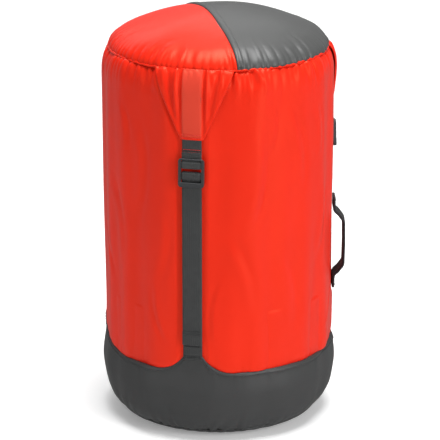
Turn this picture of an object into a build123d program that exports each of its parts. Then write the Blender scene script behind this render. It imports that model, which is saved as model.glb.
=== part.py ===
"""Compression sack: a round fabric sack with a drawcord neck, closed by a lid that three
buckled webbing straps pull down onto it.

Millimetres. The origin is the centre of the flat underside, +Z is up and the front strap is
near -Y. Azimuths are degrees from -Y, positive towards +X.
"""

import os
from math import asin, cos, degrees, radians, sin, sqrt

from build123d import *

# Sack body
sack_radius = 120.0
total_height = 433.0
crown_height = 61.0  # straight side to the top of the lid
shoulder_radius = 44.0
fabric = 1.2  # wall of the sack and the lid
base_corner_radius = 28.0
side_curve_radius = 300.0  # the side's slow inward curve near the base
side_curve_top = 92.0
base_seam_inset = 17.0  # side of the sack to the seam round the base disc
neck_seam_angle = 57.0  # up the shoulder arc, from level
piping_radius = 1.8
tape_thickness = 0.8
tape_width = 12.0

# Scalloped top edge of the base panel
base_panel_height = 78.0
scallop_rise = 18.5
scallop_tuck = 1.0  # strap's edge to the end of a peak's flat top, under it
front_scallop_half_width = 43.0
side_scallop_half_width = 46.0
broad_scallop_rise = 26.0
broad_scallop_azimuth = -100.0
broad_scallop_half_width = 92.0

# Neck and drawcord
neck_height = 5.0  # neck seam up to the foot of the drawn neck
neck_radius = 18.0  # middle of the drawcord channel
neck_fillet = 2.4
channel_height = 9.6  # neck seam up to the middle of the channel
channel_radius = 4.0
cord_radius = 1.5
cord_clearance = 0.4
strand_gap = 0.3
cord_end_reach = 56.0  # axis of the sack to the cord's ends
cord_bend = 2.0
cord_end_wall = 0.45
cord_end_length = 7.0

# Cord lock
lock_depth = 12.0
lock_height = 9.0
lock_corner = 3.0
lock_near_end = 9.0  # cord to the end with the button
lock_far_end = 13.0
lock_wall = 1.2
lock_start = 28.0  # axis of the sack to the lock
plunger_radius = 3.2
plunger_clearance = 0.05
plunger_wall = 1.05  # cord slot to the foot of the plunger
button_height = 5.0
button_travel = 4.0
spring_wire = 0.7
spring_radius = 2.3
spring_turns = 4

# Lid
lid_gap = 0.8  # sack fabric to lid fabric
rim_angle = 32.0  # up the shoulder arc, from level
rim_radius = 1.6
rim_proud = 0.2  # lid's outer face to the middle of the rim
lid_seam_angle = 16.1  # the two-colour seam, from the Y axis
lid_seam_offset = -12.6
lid_tape_width = 8.0
lid_tape_thickness = 0.3

# Straps
front_azimuth = -12.5
strap_spacing = 120.0
strap_azimuths = {
    "front": front_azimuth,
    "right": front_azimuth + strap_spacing,
    "left": front_azimuth - strap_spacing,
}
strap_width = 20.0
strap_thickness = 1.6
webbing_bend = 1.2  # at the corners where webbing turns
strap_foot = 92.0  # sewn end of the load strap
tail_length = 167.0
tab_width = 86.0
tab_hem_margin = 2.0  # strap's edge to the tab's edge at the hem
tab_fabric = 1.0
tab_drop = 45.5  # straight side's top to the hem
hinge_drop = 62.4  # straight side's top to the bend in the tab's webbing
webbing_clearance = 0.6  # sack to the back of the tab's webbing
layer_gap = 0.1  # between two layers of the same webbing
bend_gap = 0.8
free_gap = 0.4  # between webbing on different bodies
tail_bend_gap = 1.0

# Ladder-lock buckle, from the middle of its height and outwards from the sack
rail_width = 2.85
buckle_height = 29.5
buckle_corner = 3.0
buckle_hang = 16.8  # bend in the webbing to the middle of the buckle
slot_clearance = 0.4
bar_corner = 0.6
bar_depth = 2.3  # upper and lower bars
bar_gap = 0.15  # bar to the webbing behind it and in front of it
upper_bar_height = 3.2
upper_bar_rise = 7.7
lower_bar_height = 2.8
lower_bar_drop = 3.3
top_bar_depth = 1.8
top_bar_height = 1.7
lip_depth = 3.0
lip_height = 5.0
rail_gap = 0.3  # tail's front to the back of the lip and the top bar
rail_step = 2.0  # a bar's middle to where the rails step back
upper_rail_proud = 0.7  # middle of the webbing in front of the bars to the front of the rails
lower_rail_proud = 0.9
loop_slack = 0.5  # upper bar to the webbing that turns under it
loop_shoulder = 2.7  # upper bar's middle to where the loop leans back
loop_return = 5.5  # upper bar's middle to where the loop lies on the tab's webbing
turn_slack = 1.2  # lower bar to the webbing that turns over it
turn_shoulder = 2.4
lip_clearance = 0.5
turn_foot = 1.8  # buckle's foot to the lower end of the strap's turn

# Side handle
handle_azimuth = 90.0
handle_width = 25.0
handle_thickness = 3.0
handle_foot = 149.0
handle_length = 66.0
handle_standoff = 12.0
handle_pivot_standoff = 6.0
handle_sewn = 16.0
handle_bend = 3.0
handle_gap_out = 1.5  # end of an anchor to the end of the loop, outwards and upwards
handle_gap_up = 2.2
handle_corner_rise = 2.0

# Worked out from the sizes above
side_top = total_height - crown_height
lid_standoff = lid_gap + fabric
shoulder_x = sack_radius - shoulder_radius
crown_rise = crown_height - lid_standoff
dome_radius = (sack_radius**2 + crown_rise**2 - 2 * sack_radius * shoulder_radius) / (
    2 * (crown_rise - shoulder_radius)
)
dome_centre_z = side_top + crown_rise - dome_radius
side_centre_x = sack_radius - side_curve_radius
corner_drop = side_curve_top - base_corner_radius
corner_reach = side_curve_radius - base_corner_radius
corner_x = side_centre_x + sqrt(corner_reach**2 - corner_drop**2)
base_seam_radius = sack_radius - base_seam_inset
strap_standoff = webbing_clearance + strap_thickness / 2  # middle of the tab webbing
webbing_inner = webbing_clearance
webbing_outer = webbing_clearance + strap_thickness
tail_layer = strap_standoff + strap_thickness + layer_gap
bar_wrap = bar_depth + strap_thickness + 2 * bar_gap
over_bar = strap_standoff + bar_wrap  # webbing in front of the bars
hinge_z = side_top - hinge_drop
buckle_z = hinge_z - buckle_hang
buckle_foot = buckle_z - buckle_height / 2
tail_hinge_z = buckle_foot - tail_bend_gap
bar_one_z = buckle_z + upper_bar_rise
bar_two_z = buckle_z - lower_bar_drop
slot_width = strap_width + 2 * slot_clearance
buckle_width = slot_width + 2 * rail_width
tab_hem_z = side_top - tab_drop
tab_full_z = side_top + shoulder_radius * sin(radians(rim_angle))
cord_spacing = 2 * cord_radius + strand_gap
cord_slot_height = 2 * (cord_radius + cord_clearance)
cord_slot_width = cord_spacing + cord_slot_height
plunger_foot = cord_slot_width / 2 + plunger_wall  # cord to the foot of the plunger
cord_end_radius = cord_spacing / 2 + cord_radius + cord_end_wall
clear_of_sack = 4 * sack_radius


def radial_plane(azimuth):
    """Upright plane through the axis, facing outwards: x runs round the sack, y is up."""
    turn = radians(azimuth)
    return Plane(
        origin=(0, 0, 0),
        x_dir=(cos(turn), sin(turn), 0),
        z_dir=(sin(turn), -cos(turn), 0),
    )


def side_plane(azimuth):
    """Upright plane through the axis at an azimuth: x runs outwards, y is up."""
    turn = radians(azimuth)
    return Plane(
        origin=(0, 0, 0),
        x_dir=(sin(turn), -cos(turn), 0),
        z_dir=(-cos(turn), -sin(turn), 0),
    )


def shoulder_point(angle, inset=0.0):
    """Point of the shoulder arc, at an angle above level and a depth inside the fabric."""
    reach = shoulder_radius - inset
    turn = radians(angle)
    return (shoulder_x + reach * cos(turn), side_top + reach * sin(turn))


def sack_outline(inset):
    """The sack's outline from the middle of its base to the neck seam, at a depth."""
    lean = Vector(corner_x - side_centre_x, corner_drop).get_angle(Vector(1, 0, 0))
    with BuildLine() as outline:
        Line((0, inset), (corner_x, inset))
        CenterArc((corner_x, base_corner_radius), base_corner_radius - inset, -90, 90 - lean)
        CenterArc((side_centre_x, side_curve_top), side_curve_radius - inset, -lean, lean)
        Line((sack_radius - inset, side_curve_top), (sack_radius - inset, side_top))
        CenterArc((shoulder_x, side_top), shoulder_radius - inset, 0, neck_seam_angle)
    return Wire(outline.line.edges())


def revolved(outer, inner):
    """Ring of fabric between two outlines in the plane of the axis."""
    with BuildPart() as band:
        with BuildSketch(Plane.XZ):
            with BuildLine():
                add(outer)
                add(inner)
                Line(outer @ 0, inner @ 0)
                Line(outer @ 1, inner @ 1)
            make_face()
        revolve(axis=Axis.Z)
    return band.part


def cover_outline(inset, low_z):
    """Outline of what lies over the sack's side, from low_z up to the lid's rim."""
    with BuildLine() as outline:
        Line((sack_radius - inset, low_z), (sack_radius - inset, side_top))
        CenterArc((shoulder_x, side_top), shoulder_radius - inset, 0, rim_angle)
    return Wire(outline.line.edges())


def dome_outline(inset):
    """Outline of the lid, from its rim up to the axis."""
    tangent_angle = Vector(shoulder_x, side_top - dome_centre_z).get_angle(Vector(1, 0, 0))
    with BuildLine() as outline:
        CenterArc(
            (shoulder_x, side_top),
            shoulder_radius - inset,
            rim_angle,
            tangent_angle - rim_angle,
        )
        CenterArc((0, dome_centre_z), dome_radius - inset, tangent_angle, 90 - tangent_angle)
    return Wire(outline.line.edges())


def side_layer(azimuth, outline_points, inner_standoff, outer_standoff, low_z):
    """Fabric lying over the sack's side, cut to an outline seen from in front of it."""
    band = revolved(
        cover_outline(-outer_standoff, low_z),
        cover_outline(-inner_standoff, low_z),
    )
    with BuildPart() as layer:
        with BuildSketch(radial_plane(azimuth)):
            with BuildLine():
                Polyline(*outline_points, close=True)
            make_face()
        extrude(amount=clear_of_sack)
        add(band, mode=Mode.INTERSECT)
        add(rim_ring, mode=Mode.SUBTRACT)
    return layer.part


def strip_outline(width, low_z, high_z):
    """Corners of an upright strip, seen from in front of it."""
    half = width / 2
    return [(-half, low_z), (half, low_z), (half, high_z), (-half, high_z)]


def peak_outline(half_width):
    """Edge of a scalloped peak seen from in front: hollow sides up to a flat top."""
    top_half = strap_width / 2 - scallop_tuck
    reach = half_width - top_half
    peak_z = base_panel_height + scallop_rise
    side_radius = (reach**2 + scallop_rise**2) / (2 * scallop_rise)
    side_turn = degrees(asin(reach / side_radius))
    side_centre_z = base_panel_height + side_radius
    with BuildLine() as outline:
        CenterArc((half_width, side_centre_z), side_radius, 270 - side_turn, side_turn)
        Line((top_half, peak_z), (-top_half, peak_z))
        CenterArc((-half_width, side_centre_z), side_radius, 270, side_turn)
    return outline.line


def broad_outline(half_width):
    """Edge of the low broad rise seen from in front."""
    with BuildLine() as outline:
        Spline(
            (half_width, base_panel_height),
            (0, base_panel_height + broad_scallop_rise),
            (-half_width, base_panel_height),
            tangents=[(-1, 0), (-1, 0)],
        )
    return outline.line


def webbing(azimuth, path_points, radius, width=strap_width, thickness=strap_thickness):
    """Webbing that follows a path in the side plane; x of a point is its standoff."""
    points = [(sack_radius + x, z) for x, z in path_points]
    with BuildPart() as run:
        with BuildSketch(side_plane(azimuth)):
            with BuildLine():
                FilletPolyline(*points, radius=radius)
            trace(line_width=thickness)
        extrude(amount=width / 2, both=True)
    return run.part


def export(part, name):
    """Label a finished piece and write it to its own file."""
    part.label = name
    export_step(part, f"parts/{name}.step")


os.makedirs("parts", exist_ok=True)

# The sack's wall is one revolved shell, cut into its sewn panels.
sack_shell = revolved(sack_outline(0), sack_outline(fabric))

# Everything below the scalloped seam: a disc with a peak at each strap and one broad rise.
scallops = [
    (front_azimuth, front_scallop_half_width, peak_outline),
    (front_azimuth + strap_spacing, side_scallop_half_width, peak_outline),
    (front_azimuth - strap_spacing, side_scallop_half_width, peak_outline),
    (broad_scallop_azimuth, broad_scallop_half_width, broad_outline),
]
with BuildPart() as below_scallop:
    Cylinder(
        clear_of_sack,
        base_panel_height,
        align=(Align.CENTER, Align.CENTER, Align.MIN),
    )
    for scallop_azimuth, half_width, edge_outline in scallops:
        with BuildSketch(radial_plane(scallop_azimuth)):
            with BuildLine():
                add(edge_outline(half_width))
                Polyline(
                    (-half_width, base_panel_height),
                    (-half_width, base_panel_height / 2),
                    (half_width, base_panel_height / 2),
                    (half_width, base_panel_height),
                )
            make_face()
        extrude(amount=clear_of_sack)

# The bead of piping that is sewn in where the base disc meets the panel.
piping_z = base_corner_radius - sqrt(
    (base_corner_radius - fabric / 2) ** 2 - (base_seam_radius - corner_x) ** 2
)
with BuildPart() as base_piping:
    with Locations((0, 0, piping_z)):
        Torus(base_seam_radius, piping_radius)
export(base_piping.part, "base_piping")

with BuildPart() as base_disc:
    add(sack_shell)
    Cylinder(base_seam_radius, base_panel_height, mode=Mode.INTERSECT)
    add(base_piping.part, mode=Mode.SUBTRACT)
export(base_disc.part, "base_disc")

with BuildPart() as base_panel:
    add(sack_shell)
    add(below_scallop.part, mode=Mode.INTERSECT)
    Cylinder(base_seam_radius, base_panel_height, mode=Mode.SUBTRACT)
    add(base_piping.part, mode=Mode.SUBTRACT)
export(base_panel.part, "base_panel")

with BuildPart() as side_panel:
    add(sack_shell)
    add(below_scallop.part, mode=Mode.SUBTRACT)
export(side_panel.part, "side_panel")

# Tape bound over the raw edges inside the sack: one ring low down, one strip up the back.
with BuildPart() as base_seam_tape:
    with Locations((0, 0, side_curve_top)):
        Cylinder(
            sack_radius - fabric,
            tape_width,
            align=(Align.CENTER, Align.CENTER, Align.MIN),
        )
        Cylinder(
            sack_radius - fabric - tape_thickness,
            tape_width,
            align=(Align.CENTER, Align.CENTER, Align.MIN),
            mode=Mode.SUBTRACT,
        )
export(base_seam_tape.part, "base_seam_tape")

with BuildPart() as side_seam_tape:
    with Locations((0, 0, side_curve_top + tape_width)):
        Cylinder(
            sack_radius - fabric,
            side_top - side_curve_top - tape_width,
            align=(Align.CENTER, Align.CENTER, Align.MIN),
        )
        Cylinder(
            sack_radius - fabric - tape_thickness,
            side_top - side_curve_top - tape_width,
            align=(Align.CENTER, Align.CENTER, Align.MIN),
            mode=Mode.SUBTRACT,
        )
    with BuildSketch(radial_plane(180)):
        with Locations((0, total_height / 2)):
            Rectangle(tape_width, total_height)
    extrude(amount=clear_of_sack, mode=Mode.INTERSECT)
export(side_seam_tape.part, "side_seam_tape")

# Neck: the sack's closing collar, gathered in to a channel that holds the drawcord.
neck_x, neck_z = shoulder_point(neck_seam_angle)
inner_neck_x, inner_neck_z = shoulder_point(neck_seam_angle, fabric)
channel_z = neck_z + channel_height
neck_foot_z = neck_z + neck_height
with BuildPart() as drawcord_channel:
    with Locations((0, 0, channel_z)):
        Torus(neck_radius, channel_radius)
        Torus(neck_radius, cord_radius + cord_clearance, mode=Mode.SUBTRACT)
    with BuildSketch(radial_plane(0)):
        with Locations((0, channel_z)):
            SlotCenterToCenter(cord_spacing, 2 * (cord_radius + cord_clearance))
    extrude(amount=neck_radius + 2 * channel_radius, mode=Mode.SUBTRACT)
export(drawcord_channel.part, "drawcord_channel")

with BuildPart() as neck_collar:
    with BuildSketch(Plane.XZ):
        with BuildLine():
            FilletPolyline(
                (neck_x, neck_z),
                (neck_radius + fabric / 2, neck_foot_z),
                (neck_radius + fabric / 2, channel_z),
                radius=neck_fillet + fabric,
            )
            Line((neck_radius + fabric / 2, channel_z), (neck_radius - fabric / 2, channel_z))
            FilletPolyline(
                (neck_radius - fabric / 2, channel_z),
                (neck_radius - fabric / 2, neck_foot_z - fabric),
                (inner_neck_x, inner_neck_z),
                radius=neck_fillet,
            )
            Line((inner_neck_x, inner_neck_z), (neck_x, neck_z))
        make_face()
    revolve(axis=Axis.Z)
    with Locations((0, 0, channel_z)):
        Torus(neck_radius, channel_radius, mode=Mode.SUBTRACT)
export(neck_collar.part, "neck_collar")

# Drawcord: a ring in the channel whose two ends leave through the lock towards the front.
strand_x = cord_spacing / 2
mouth_angle = degrees(asin(strand_x / neck_radius))
mouth_y = -neck_radius * cos(radians(mouth_angle))
with BuildPart() as drawcord:
    with BuildLine(Plane.XY.offset(channel_z)) as cord_line:
        Line((-strand_x, -cord_end_reach), (-strand_x, mouth_y))
        CenterArc((0, 0), neck_radius, 270 - mouth_angle, 2 * mouth_angle - 360)
        Line((strand_x, mouth_y), (strand_x, -cord_end_reach))
        cord_corners = cord_line.vertices().filter_by(lambda v: abs(v.Y - mouth_y) < cord_radius)
        fillet(cord_corners, radius=cord_bend)
    with BuildSketch(Plane(origin=(-strand_x, -cord_end_reach, channel_z), z_dir=(0, 1, 0))):
        Circle(cord_radius)
    sweep()
export(drawcord.part, "drawcord")

# Moulded end that both strands are crimped into.
with BuildPart() as cord_end:
    with BuildSketch(radial_plane(0).offset(cord_end_reach)):
        with Locations((0, channel_z)):
            Circle(cord_end_radius)
    extrude(amount=cord_end_length)
export(cord_end.part, "cord_end")

# Cord lock: the barrel and its sprung button lie along X, across the two strands.
lock_y = -(lock_start + lock_depth / 2)
cord_hole_plane = radial_plane(0).offset(lock_start - lock_depth)
cord_hole_length = 3 * lock_depth
with BuildPart() as cord_lock_barrel:
    with BuildSketch(Plane.YZ.offset(-lock_far_end)):
        with Locations((lock_y, channel_z)):
            RectangleRounded(lock_depth, lock_height, lock_corner)
    extrude(amount=lock_far_end + lock_near_end)
    with BuildSketch(Plane.YZ.offset(lock_wall - lock_far_end)):
        with Locations((lock_y, channel_z)):
            Circle(plunger_radius + plunger_clearance)
    extrude(amount=lock_far_end + lock_near_end, mode=Mode.SUBTRACT)
    with BuildSketch(cord_hole_plane):
        with Locations((0, channel_z)):
            SlotOverall(cord_slot_width, cord_slot_height)
    extrude(amount=cord_hole_length, mode=Mode.SUBTRACT)
export(cord_lock_barrel.part, "cord_lock_barrel")

with BuildPart() as cord_lock_plunger:
    with BuildSketch(Plane.YZ.offset(-plunger_foot)):
        with Locations((lock_y, channel_z)):
            Circle(plunger_radius)
    extrude(amount=plunger_foot + lock_near_end + button_height)
    with BuildSketch(cord_hole_plane):
        with Locations((button_travel / 2, channel_z)):
            SlotOverall(cord_slot_width + button_travel, cord_slot_height)
    extrude(amount=cord_hole_length, mode=Mode.SUBTRACT)
export(cord_lock_plunger.part, "cord_lock_plunger")

spring_length = lock_far_end - lock_wall - plunger_foot - 2 * spring_wire
with BuildPart() as cord_lock_spring:
    with BuildLine():
        coil = Helix(
            spring_length / spring_turns,
            spring_length,
            spring_radius,
            center=(lock_wall + spring_wire - lock_far_end, lock_y, channel_z),
            direction=(1, 0, 0),
        )
    with BuildSketch(Plane(origin=coil @ 0, z_dir=coil % 0)):
        Circle(spring_wire / 2)
    sweep(is_frenet=True)
export(cord_lock_spring.part, "cord_lock_spring")

# Lid: a dome of two colours inside a bound rim. The rim and all below are the same layers.
rim_x, rim_z = shoulder_point(rim_angle, -(lid_standoff + rim_proud))
with BuildPart() as rim_binding:
    with Locations((0, 0, rim_z)):
        Torus(rim_x, rim_radius)
rim_ring = rim_binding.part
export(rim_ring, "lid_rim_binding")

lid_dome = revolved(dome_outline(-lid_standoff), dome_outline(-lid_gap))
lid_seam_turn = radians(lid_seam_angle)
lid_seam_normal = Vector(cos(lid_seam_turn), sin(lid_seam_turn), 0)
lid_seam_plane = Plane(
    origin=lid_seam_normal * lid_seam_offset,
    x_dir=(-sin(lid_seam_turn), cos(lid_seam_turn), 0),
    z_dir=lid_seam_normal,
)
lid_colours = {"lid_grey_panel": Keep.TOP, "lid_red_panel": Keep.BOTTOM}
for lid_name, lid_side in lid_colours.items():
    with BuildPart() as lid_panel:
        add(lid_dome)
        add(rim_ring, mode=Mode.SUBTRACT)
        split(bisect_by=lid_seam_plane, keep=lid_side)
    export(lid_panel.part, lid_name)

# Tape over the lid's seam allowance, on its underside.
lid_tape_layer = revolved(dome_outline(-lid_gap), dome_outline(-lid_gap + lid_tape_thickness))
with BuildPart() as lid_seam_tape:
    with BuildSketch(lid_seam_plane.offset(-lid_tape_width / 2)):
        with Locations((0, total_height)):
            Rectangle(2 * base_seam_radius, total_height)
    extrude(amount=lid_tape_width)
    add(lid_tape_layer, mode=Mode.INTERSECT)
    add(rim_ring, mode=Mode.SUBTRACT)
export(lid_seam_tape.part, "lid_seam_tape")

# Three straps, each a lid tab, its webbing, a buckle, the load strap and a free tail.
tab_hem_half = strap_width / 2 + tab_hem_margin
loop_foot = bar_one_z - (upper_bar_height + strap_thickness) / 2 - loop_slack
turn_top = bar_two_z + (lower_bar_height + strap_thickness) / 2 + turn_slack
bar_standoff = strap_standoff + bar_wrap / 2
rail_back = tail_layer + strap_thickness / 2 + rail_gap
buckle_top = buckle_z + buckle_height / 2
for strap, azimuth in strap_azimuths.items():
    tab_outline = [
        (-tab_hem_half, tab_hem_z),
        (tab_hem_half, tab_hem_z),
        (tab_width / 2, tab_full_z),
        (tab_width / 2, total_height),
        (-tab_width / 2, total_height),
        (-tab_width / 2, tab_full_z),
    ]
    export(
        side_layer(azimuth, tab_outline, webbing_outer, webbing_outer + tab_fabric, tab_hem_z),
        f"{strap}_tab",
    )
    tab_webbing_foot = hinge_z + bend_gap
    export(
        side_layer(
            azimuth,
            strip_outline(strap_width, tab_webbing_foot, total_height),
            webbing_inner,
            webbing_outer,
            tab_webbing_foot,
        ),
        f"{strap}_tab_webbing",
    )

    # Webbing that hangs the buckle: down behind its top bar, round the next bar and back up.
    loop_path = [
        (strap_standoff, hinge_z - bend_gap),
        (strap_standoff, loop_foot),
        (over_bar, loop_foot),
        (over_bar, bar_one_z + loop_shoulder),
        (tail_layer, bar_one_z + loop_return),
        (tail_layer, hinge_z - bend_gap - free_gap),
    ]
    export(webbing(azimuth, loop_path, webbing_bend), f"{strap}_buckle_loop")

    # Load strap's turn over the second bar, in front of it and back behind the lip.
    turn_path = [
        (strap_standoff, buckle_foot - turn_foot),
        (strap_standoff, turn_top),
        (over_bar, turn_top),
        (over_bar, bar_two_z - turn_shoulder),
        (tail_layer, buckle_foot + lip_height + lip_clearance),
        (tail_layer, buckle_foot - free_gap),
    ]
    export(webbing(azimuth, turn_path, webbing_bend), f"{strap}_strap_turn")

    # Free end of the load strap, hanging in front of it, folded over and sewn at its tip.
    tail_top = tail_hinge_z - tail_bend_gap
    tail_back = sack_radius + tail_layer - strap_thickness / 2
    with BuildPart() as tail:
        with BuildSketch(radial_plane(azimuth).offset(tail_back)):
            with Locations((0, tail_top - tail_length / 2)):
                Rectangle(strap_width, tail_length)
        extrude(amount=strap_thickness)
    export(tail.part, f"{strap}_tail")

    # Load strap, sewn flat on the sack at its foot.
    strap_top = buckle_foot - turn_foot - free_gap
    with BuildPart() as load_strap:
        with BuildSketch(radial_plane(azimuth)):
            with Locations((0, (strap_foot + strap_top) / 2)):
                Rectangle(strap_width, strap_top - strap_foot)
        extrude(amount=clear_of_sack)
        with Locations((0, 0, strap_foot)):
            Cylinder(
                sack_radius + strap_thickness,
                strap_top - strap_foot,
                align=(Align.CENTER, Align.CENTER, Align.MIN),
                mode=Mode.INTERSECT,
            )
            Cylinder(
                sack_radius,
                strap_top - strap_foot,
                align=(Align.CENTER, Align.CENTER, Align.MIN),
                mode=Mode.SUBTRACT,
            )
    export(load_strap.part, f"{strap}_load_strap")

    # Buckle: two side rails, then top bar, upper bar, lower bar and lip across them.
    bars = [
        (rail_back + top_bar_depth / 2, buckle_top - top_bar_height / 2, top_bar_depth, top_bar_height),
        (bar_standoff, bar_one_z, bar_depth, upper_bar_height),
        (bar_standoff, bar_two_z, bar_depth, lower_bar_height),
        (rail_back + lip_depth / 2, buckle_foot + lip_height / 2, lip_depth, lip_height),
    ]
    rail_corners = [
        (rail_back + top_bar_depth, buckle_top),
        (rail_back, buckle_top),
        (webbing_outer, bar_one_z + rail_step),
        (webbing_outer, bar_two_z - rail_step),
        (rail_back, buckle_foot),
        (rail_back + lip_depth, buckle_foot),
        (over_bar + lower_rail_proud, bar_two_z),
        (over_bar + upper_rail_proud, bar_one_z),
    ]
    rail_outline = [(sack_radius + standoff, z) for standoff, z in rail_corners]
    with BuildPart() as buckle:
        with BuildSketch(side_plane(azimuth)):
            with BuildLine():
                Polyline(*rail_outline, close=True)
            make_face()
        extrude(amount=buckle_width / 2, both=True)
        with BuildSketch(radial_plane(azimuth)):
            with Locations((0, buckle_z)):
                Rectangle(slot_width, 2 * buckle_height)
        extrude(amount=clear_of_sack, mode=Mode.SUBTRACT)
        for standoff, bar_z, depth, height in bars:
            with BuildSketch(side_plane(azimuth)):
                with Locations((sack_radius + standoff, bar_z)):
                    RectangleRounded(depth, height, bar_corner)
            extrude(amount=slot_width / 2 + bar_corner, both=True)
        with BuildSketch(radial_plane(azimuth)):
            with Locations((0, buckle_z)):
                RectangleRounded(buckle_width, buckle_height, buckle_corner)
        extrude(amount=clear_of_sack, mode=Mode.INTERSECT)
    export(buckle.part, f"{strap}_buckle")

# Side handle: a webbing loop that stands off the side between two sewn ends.
handle_top = handle_foot + handle_length
handle_ends = {
    "handle_lower_anchor": (handle_foot, -1),
    "handle_upper_anchor": (handle_top, 1),
}
for anchor_name, (anchor_z, away) in handle_ends.items():
    anchor_path = [
        (handle_thickness / 2, anchor_z + away * handle_sewn),
        (handle_thickness / 2, anchor_z + away * handle_bend),
        (handle_pivot_standoff, anchor_z),
    ]
    with BuildPart() as handle_anchor:
        add(webbing(handle_azimuth, anchor_path, handle_bend, handle_width, handle_thickness))
        Cylinder(sack_radius, 3 * total_height, mode=Mode.SUBTRACT)
    export(handle_anchor.part, anchor_name)

handle_rise = handle_bend + handle_thickness
handle_path = [
    (handle_pivot_standoff + handle_gap_out, handle_foot + handle_gap_up),
    (handle_standoff, handle_foot + handle_rise + handle_corner_rise),
    (handle_standoff, handle_top - handle_rise - handle_corner_rise),
    (handle_pivot_standoff + handle_gap_out, handle_top - handle_gap_up),
]
export(
    webbing(handle_azimuth, handle_path, handle_rise, handle_width, handle_thickness),
    "side_handle",
)
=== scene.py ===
"""Look of a compression sack: nylon panels, webbing straps, buckles and a soft studio.

Metres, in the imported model's frame. Azimuths are degrees from -Y, positive towards +X.
"""

import logging
from dataclasses import dataclass, field
from enum import Enum
from math import asin, atan2, cos, degrees, pi, radians, sin, sqrt

import bmesh
import bpy
import numpy as np
from mathutils import Matrix, Vector


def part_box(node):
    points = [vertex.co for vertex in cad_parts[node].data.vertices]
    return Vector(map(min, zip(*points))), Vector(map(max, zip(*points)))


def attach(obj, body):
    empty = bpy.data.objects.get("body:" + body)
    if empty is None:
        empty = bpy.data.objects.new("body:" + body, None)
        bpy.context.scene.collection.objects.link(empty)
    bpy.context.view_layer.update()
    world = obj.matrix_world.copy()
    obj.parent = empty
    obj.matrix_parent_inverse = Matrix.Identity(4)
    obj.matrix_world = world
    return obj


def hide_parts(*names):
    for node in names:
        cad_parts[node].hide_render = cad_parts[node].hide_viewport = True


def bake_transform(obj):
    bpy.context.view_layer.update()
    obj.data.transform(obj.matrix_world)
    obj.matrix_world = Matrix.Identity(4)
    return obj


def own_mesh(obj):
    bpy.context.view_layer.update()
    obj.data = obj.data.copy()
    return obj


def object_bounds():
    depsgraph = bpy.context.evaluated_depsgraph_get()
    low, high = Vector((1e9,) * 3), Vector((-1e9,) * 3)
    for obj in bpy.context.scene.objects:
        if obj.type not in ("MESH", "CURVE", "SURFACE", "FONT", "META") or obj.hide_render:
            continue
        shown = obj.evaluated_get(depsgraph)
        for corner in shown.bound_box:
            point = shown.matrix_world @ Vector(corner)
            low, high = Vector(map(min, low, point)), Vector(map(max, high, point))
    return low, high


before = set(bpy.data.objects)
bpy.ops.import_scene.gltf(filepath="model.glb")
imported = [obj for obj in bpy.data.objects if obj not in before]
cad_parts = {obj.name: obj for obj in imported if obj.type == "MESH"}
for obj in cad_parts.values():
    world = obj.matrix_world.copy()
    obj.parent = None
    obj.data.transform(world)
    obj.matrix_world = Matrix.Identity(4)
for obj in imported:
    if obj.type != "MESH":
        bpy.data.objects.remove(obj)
CAD_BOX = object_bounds()

log = logging.getLogger("compression_sack")
logging.basicConfig(level=logging.INFO, format="%(message)s")

MM = 0.001
FABRIC = 0.5 * MM
LINED_FABRIC = 0.7 * MM

Array = np.ndarray
Piece = bpy.types.Object
Material = bpy.types.Material
Tree = bpy.types.NodeTree
Node = bpy.types.Node
Socket = bpy.types.NodeSocket


class Gather(Enum):
    """Which side of a seam its puckers lie on."""

    ABOVE = 1
    BELOW = -1


class Gloss(Enum):
    """Tints of the soft highlights on dyed nylon, linear RGB."""

    ORANGE = (1.0, 0.40, 0.20)
    WHITE = (1.0, 1.0, 1.0)


class Shade(Enum):
    """Base colours of the sack's materials, linear RGB."""

    RED = (0.66, 0.017, 0.006)
    RED_OVER_WEBBING = (0.57, 0.045, 0.026)
    GREY = (0.056, 0.057, 0.056)
    DARK_GREY = (0.040, 0.041, 0.041)
    WEBBING = (0.036, 0.038, 0.038)
    # Near-black: the real colour of the cord and the cord lock; on the side handle's webbing it is painted
    # shade, a darker copy of grey webbing for its shadowed inner face.
    BLACK = (0.012, 0.010, 0.012)
    BUCKLE = (0.030, 0.032, 0.034)
    TAPE = (0.10, 0.10, 0.10)
    STEEL = (0.56, 0.56, 0.58)


# --------------------------------------------------------------------------- materials


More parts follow.
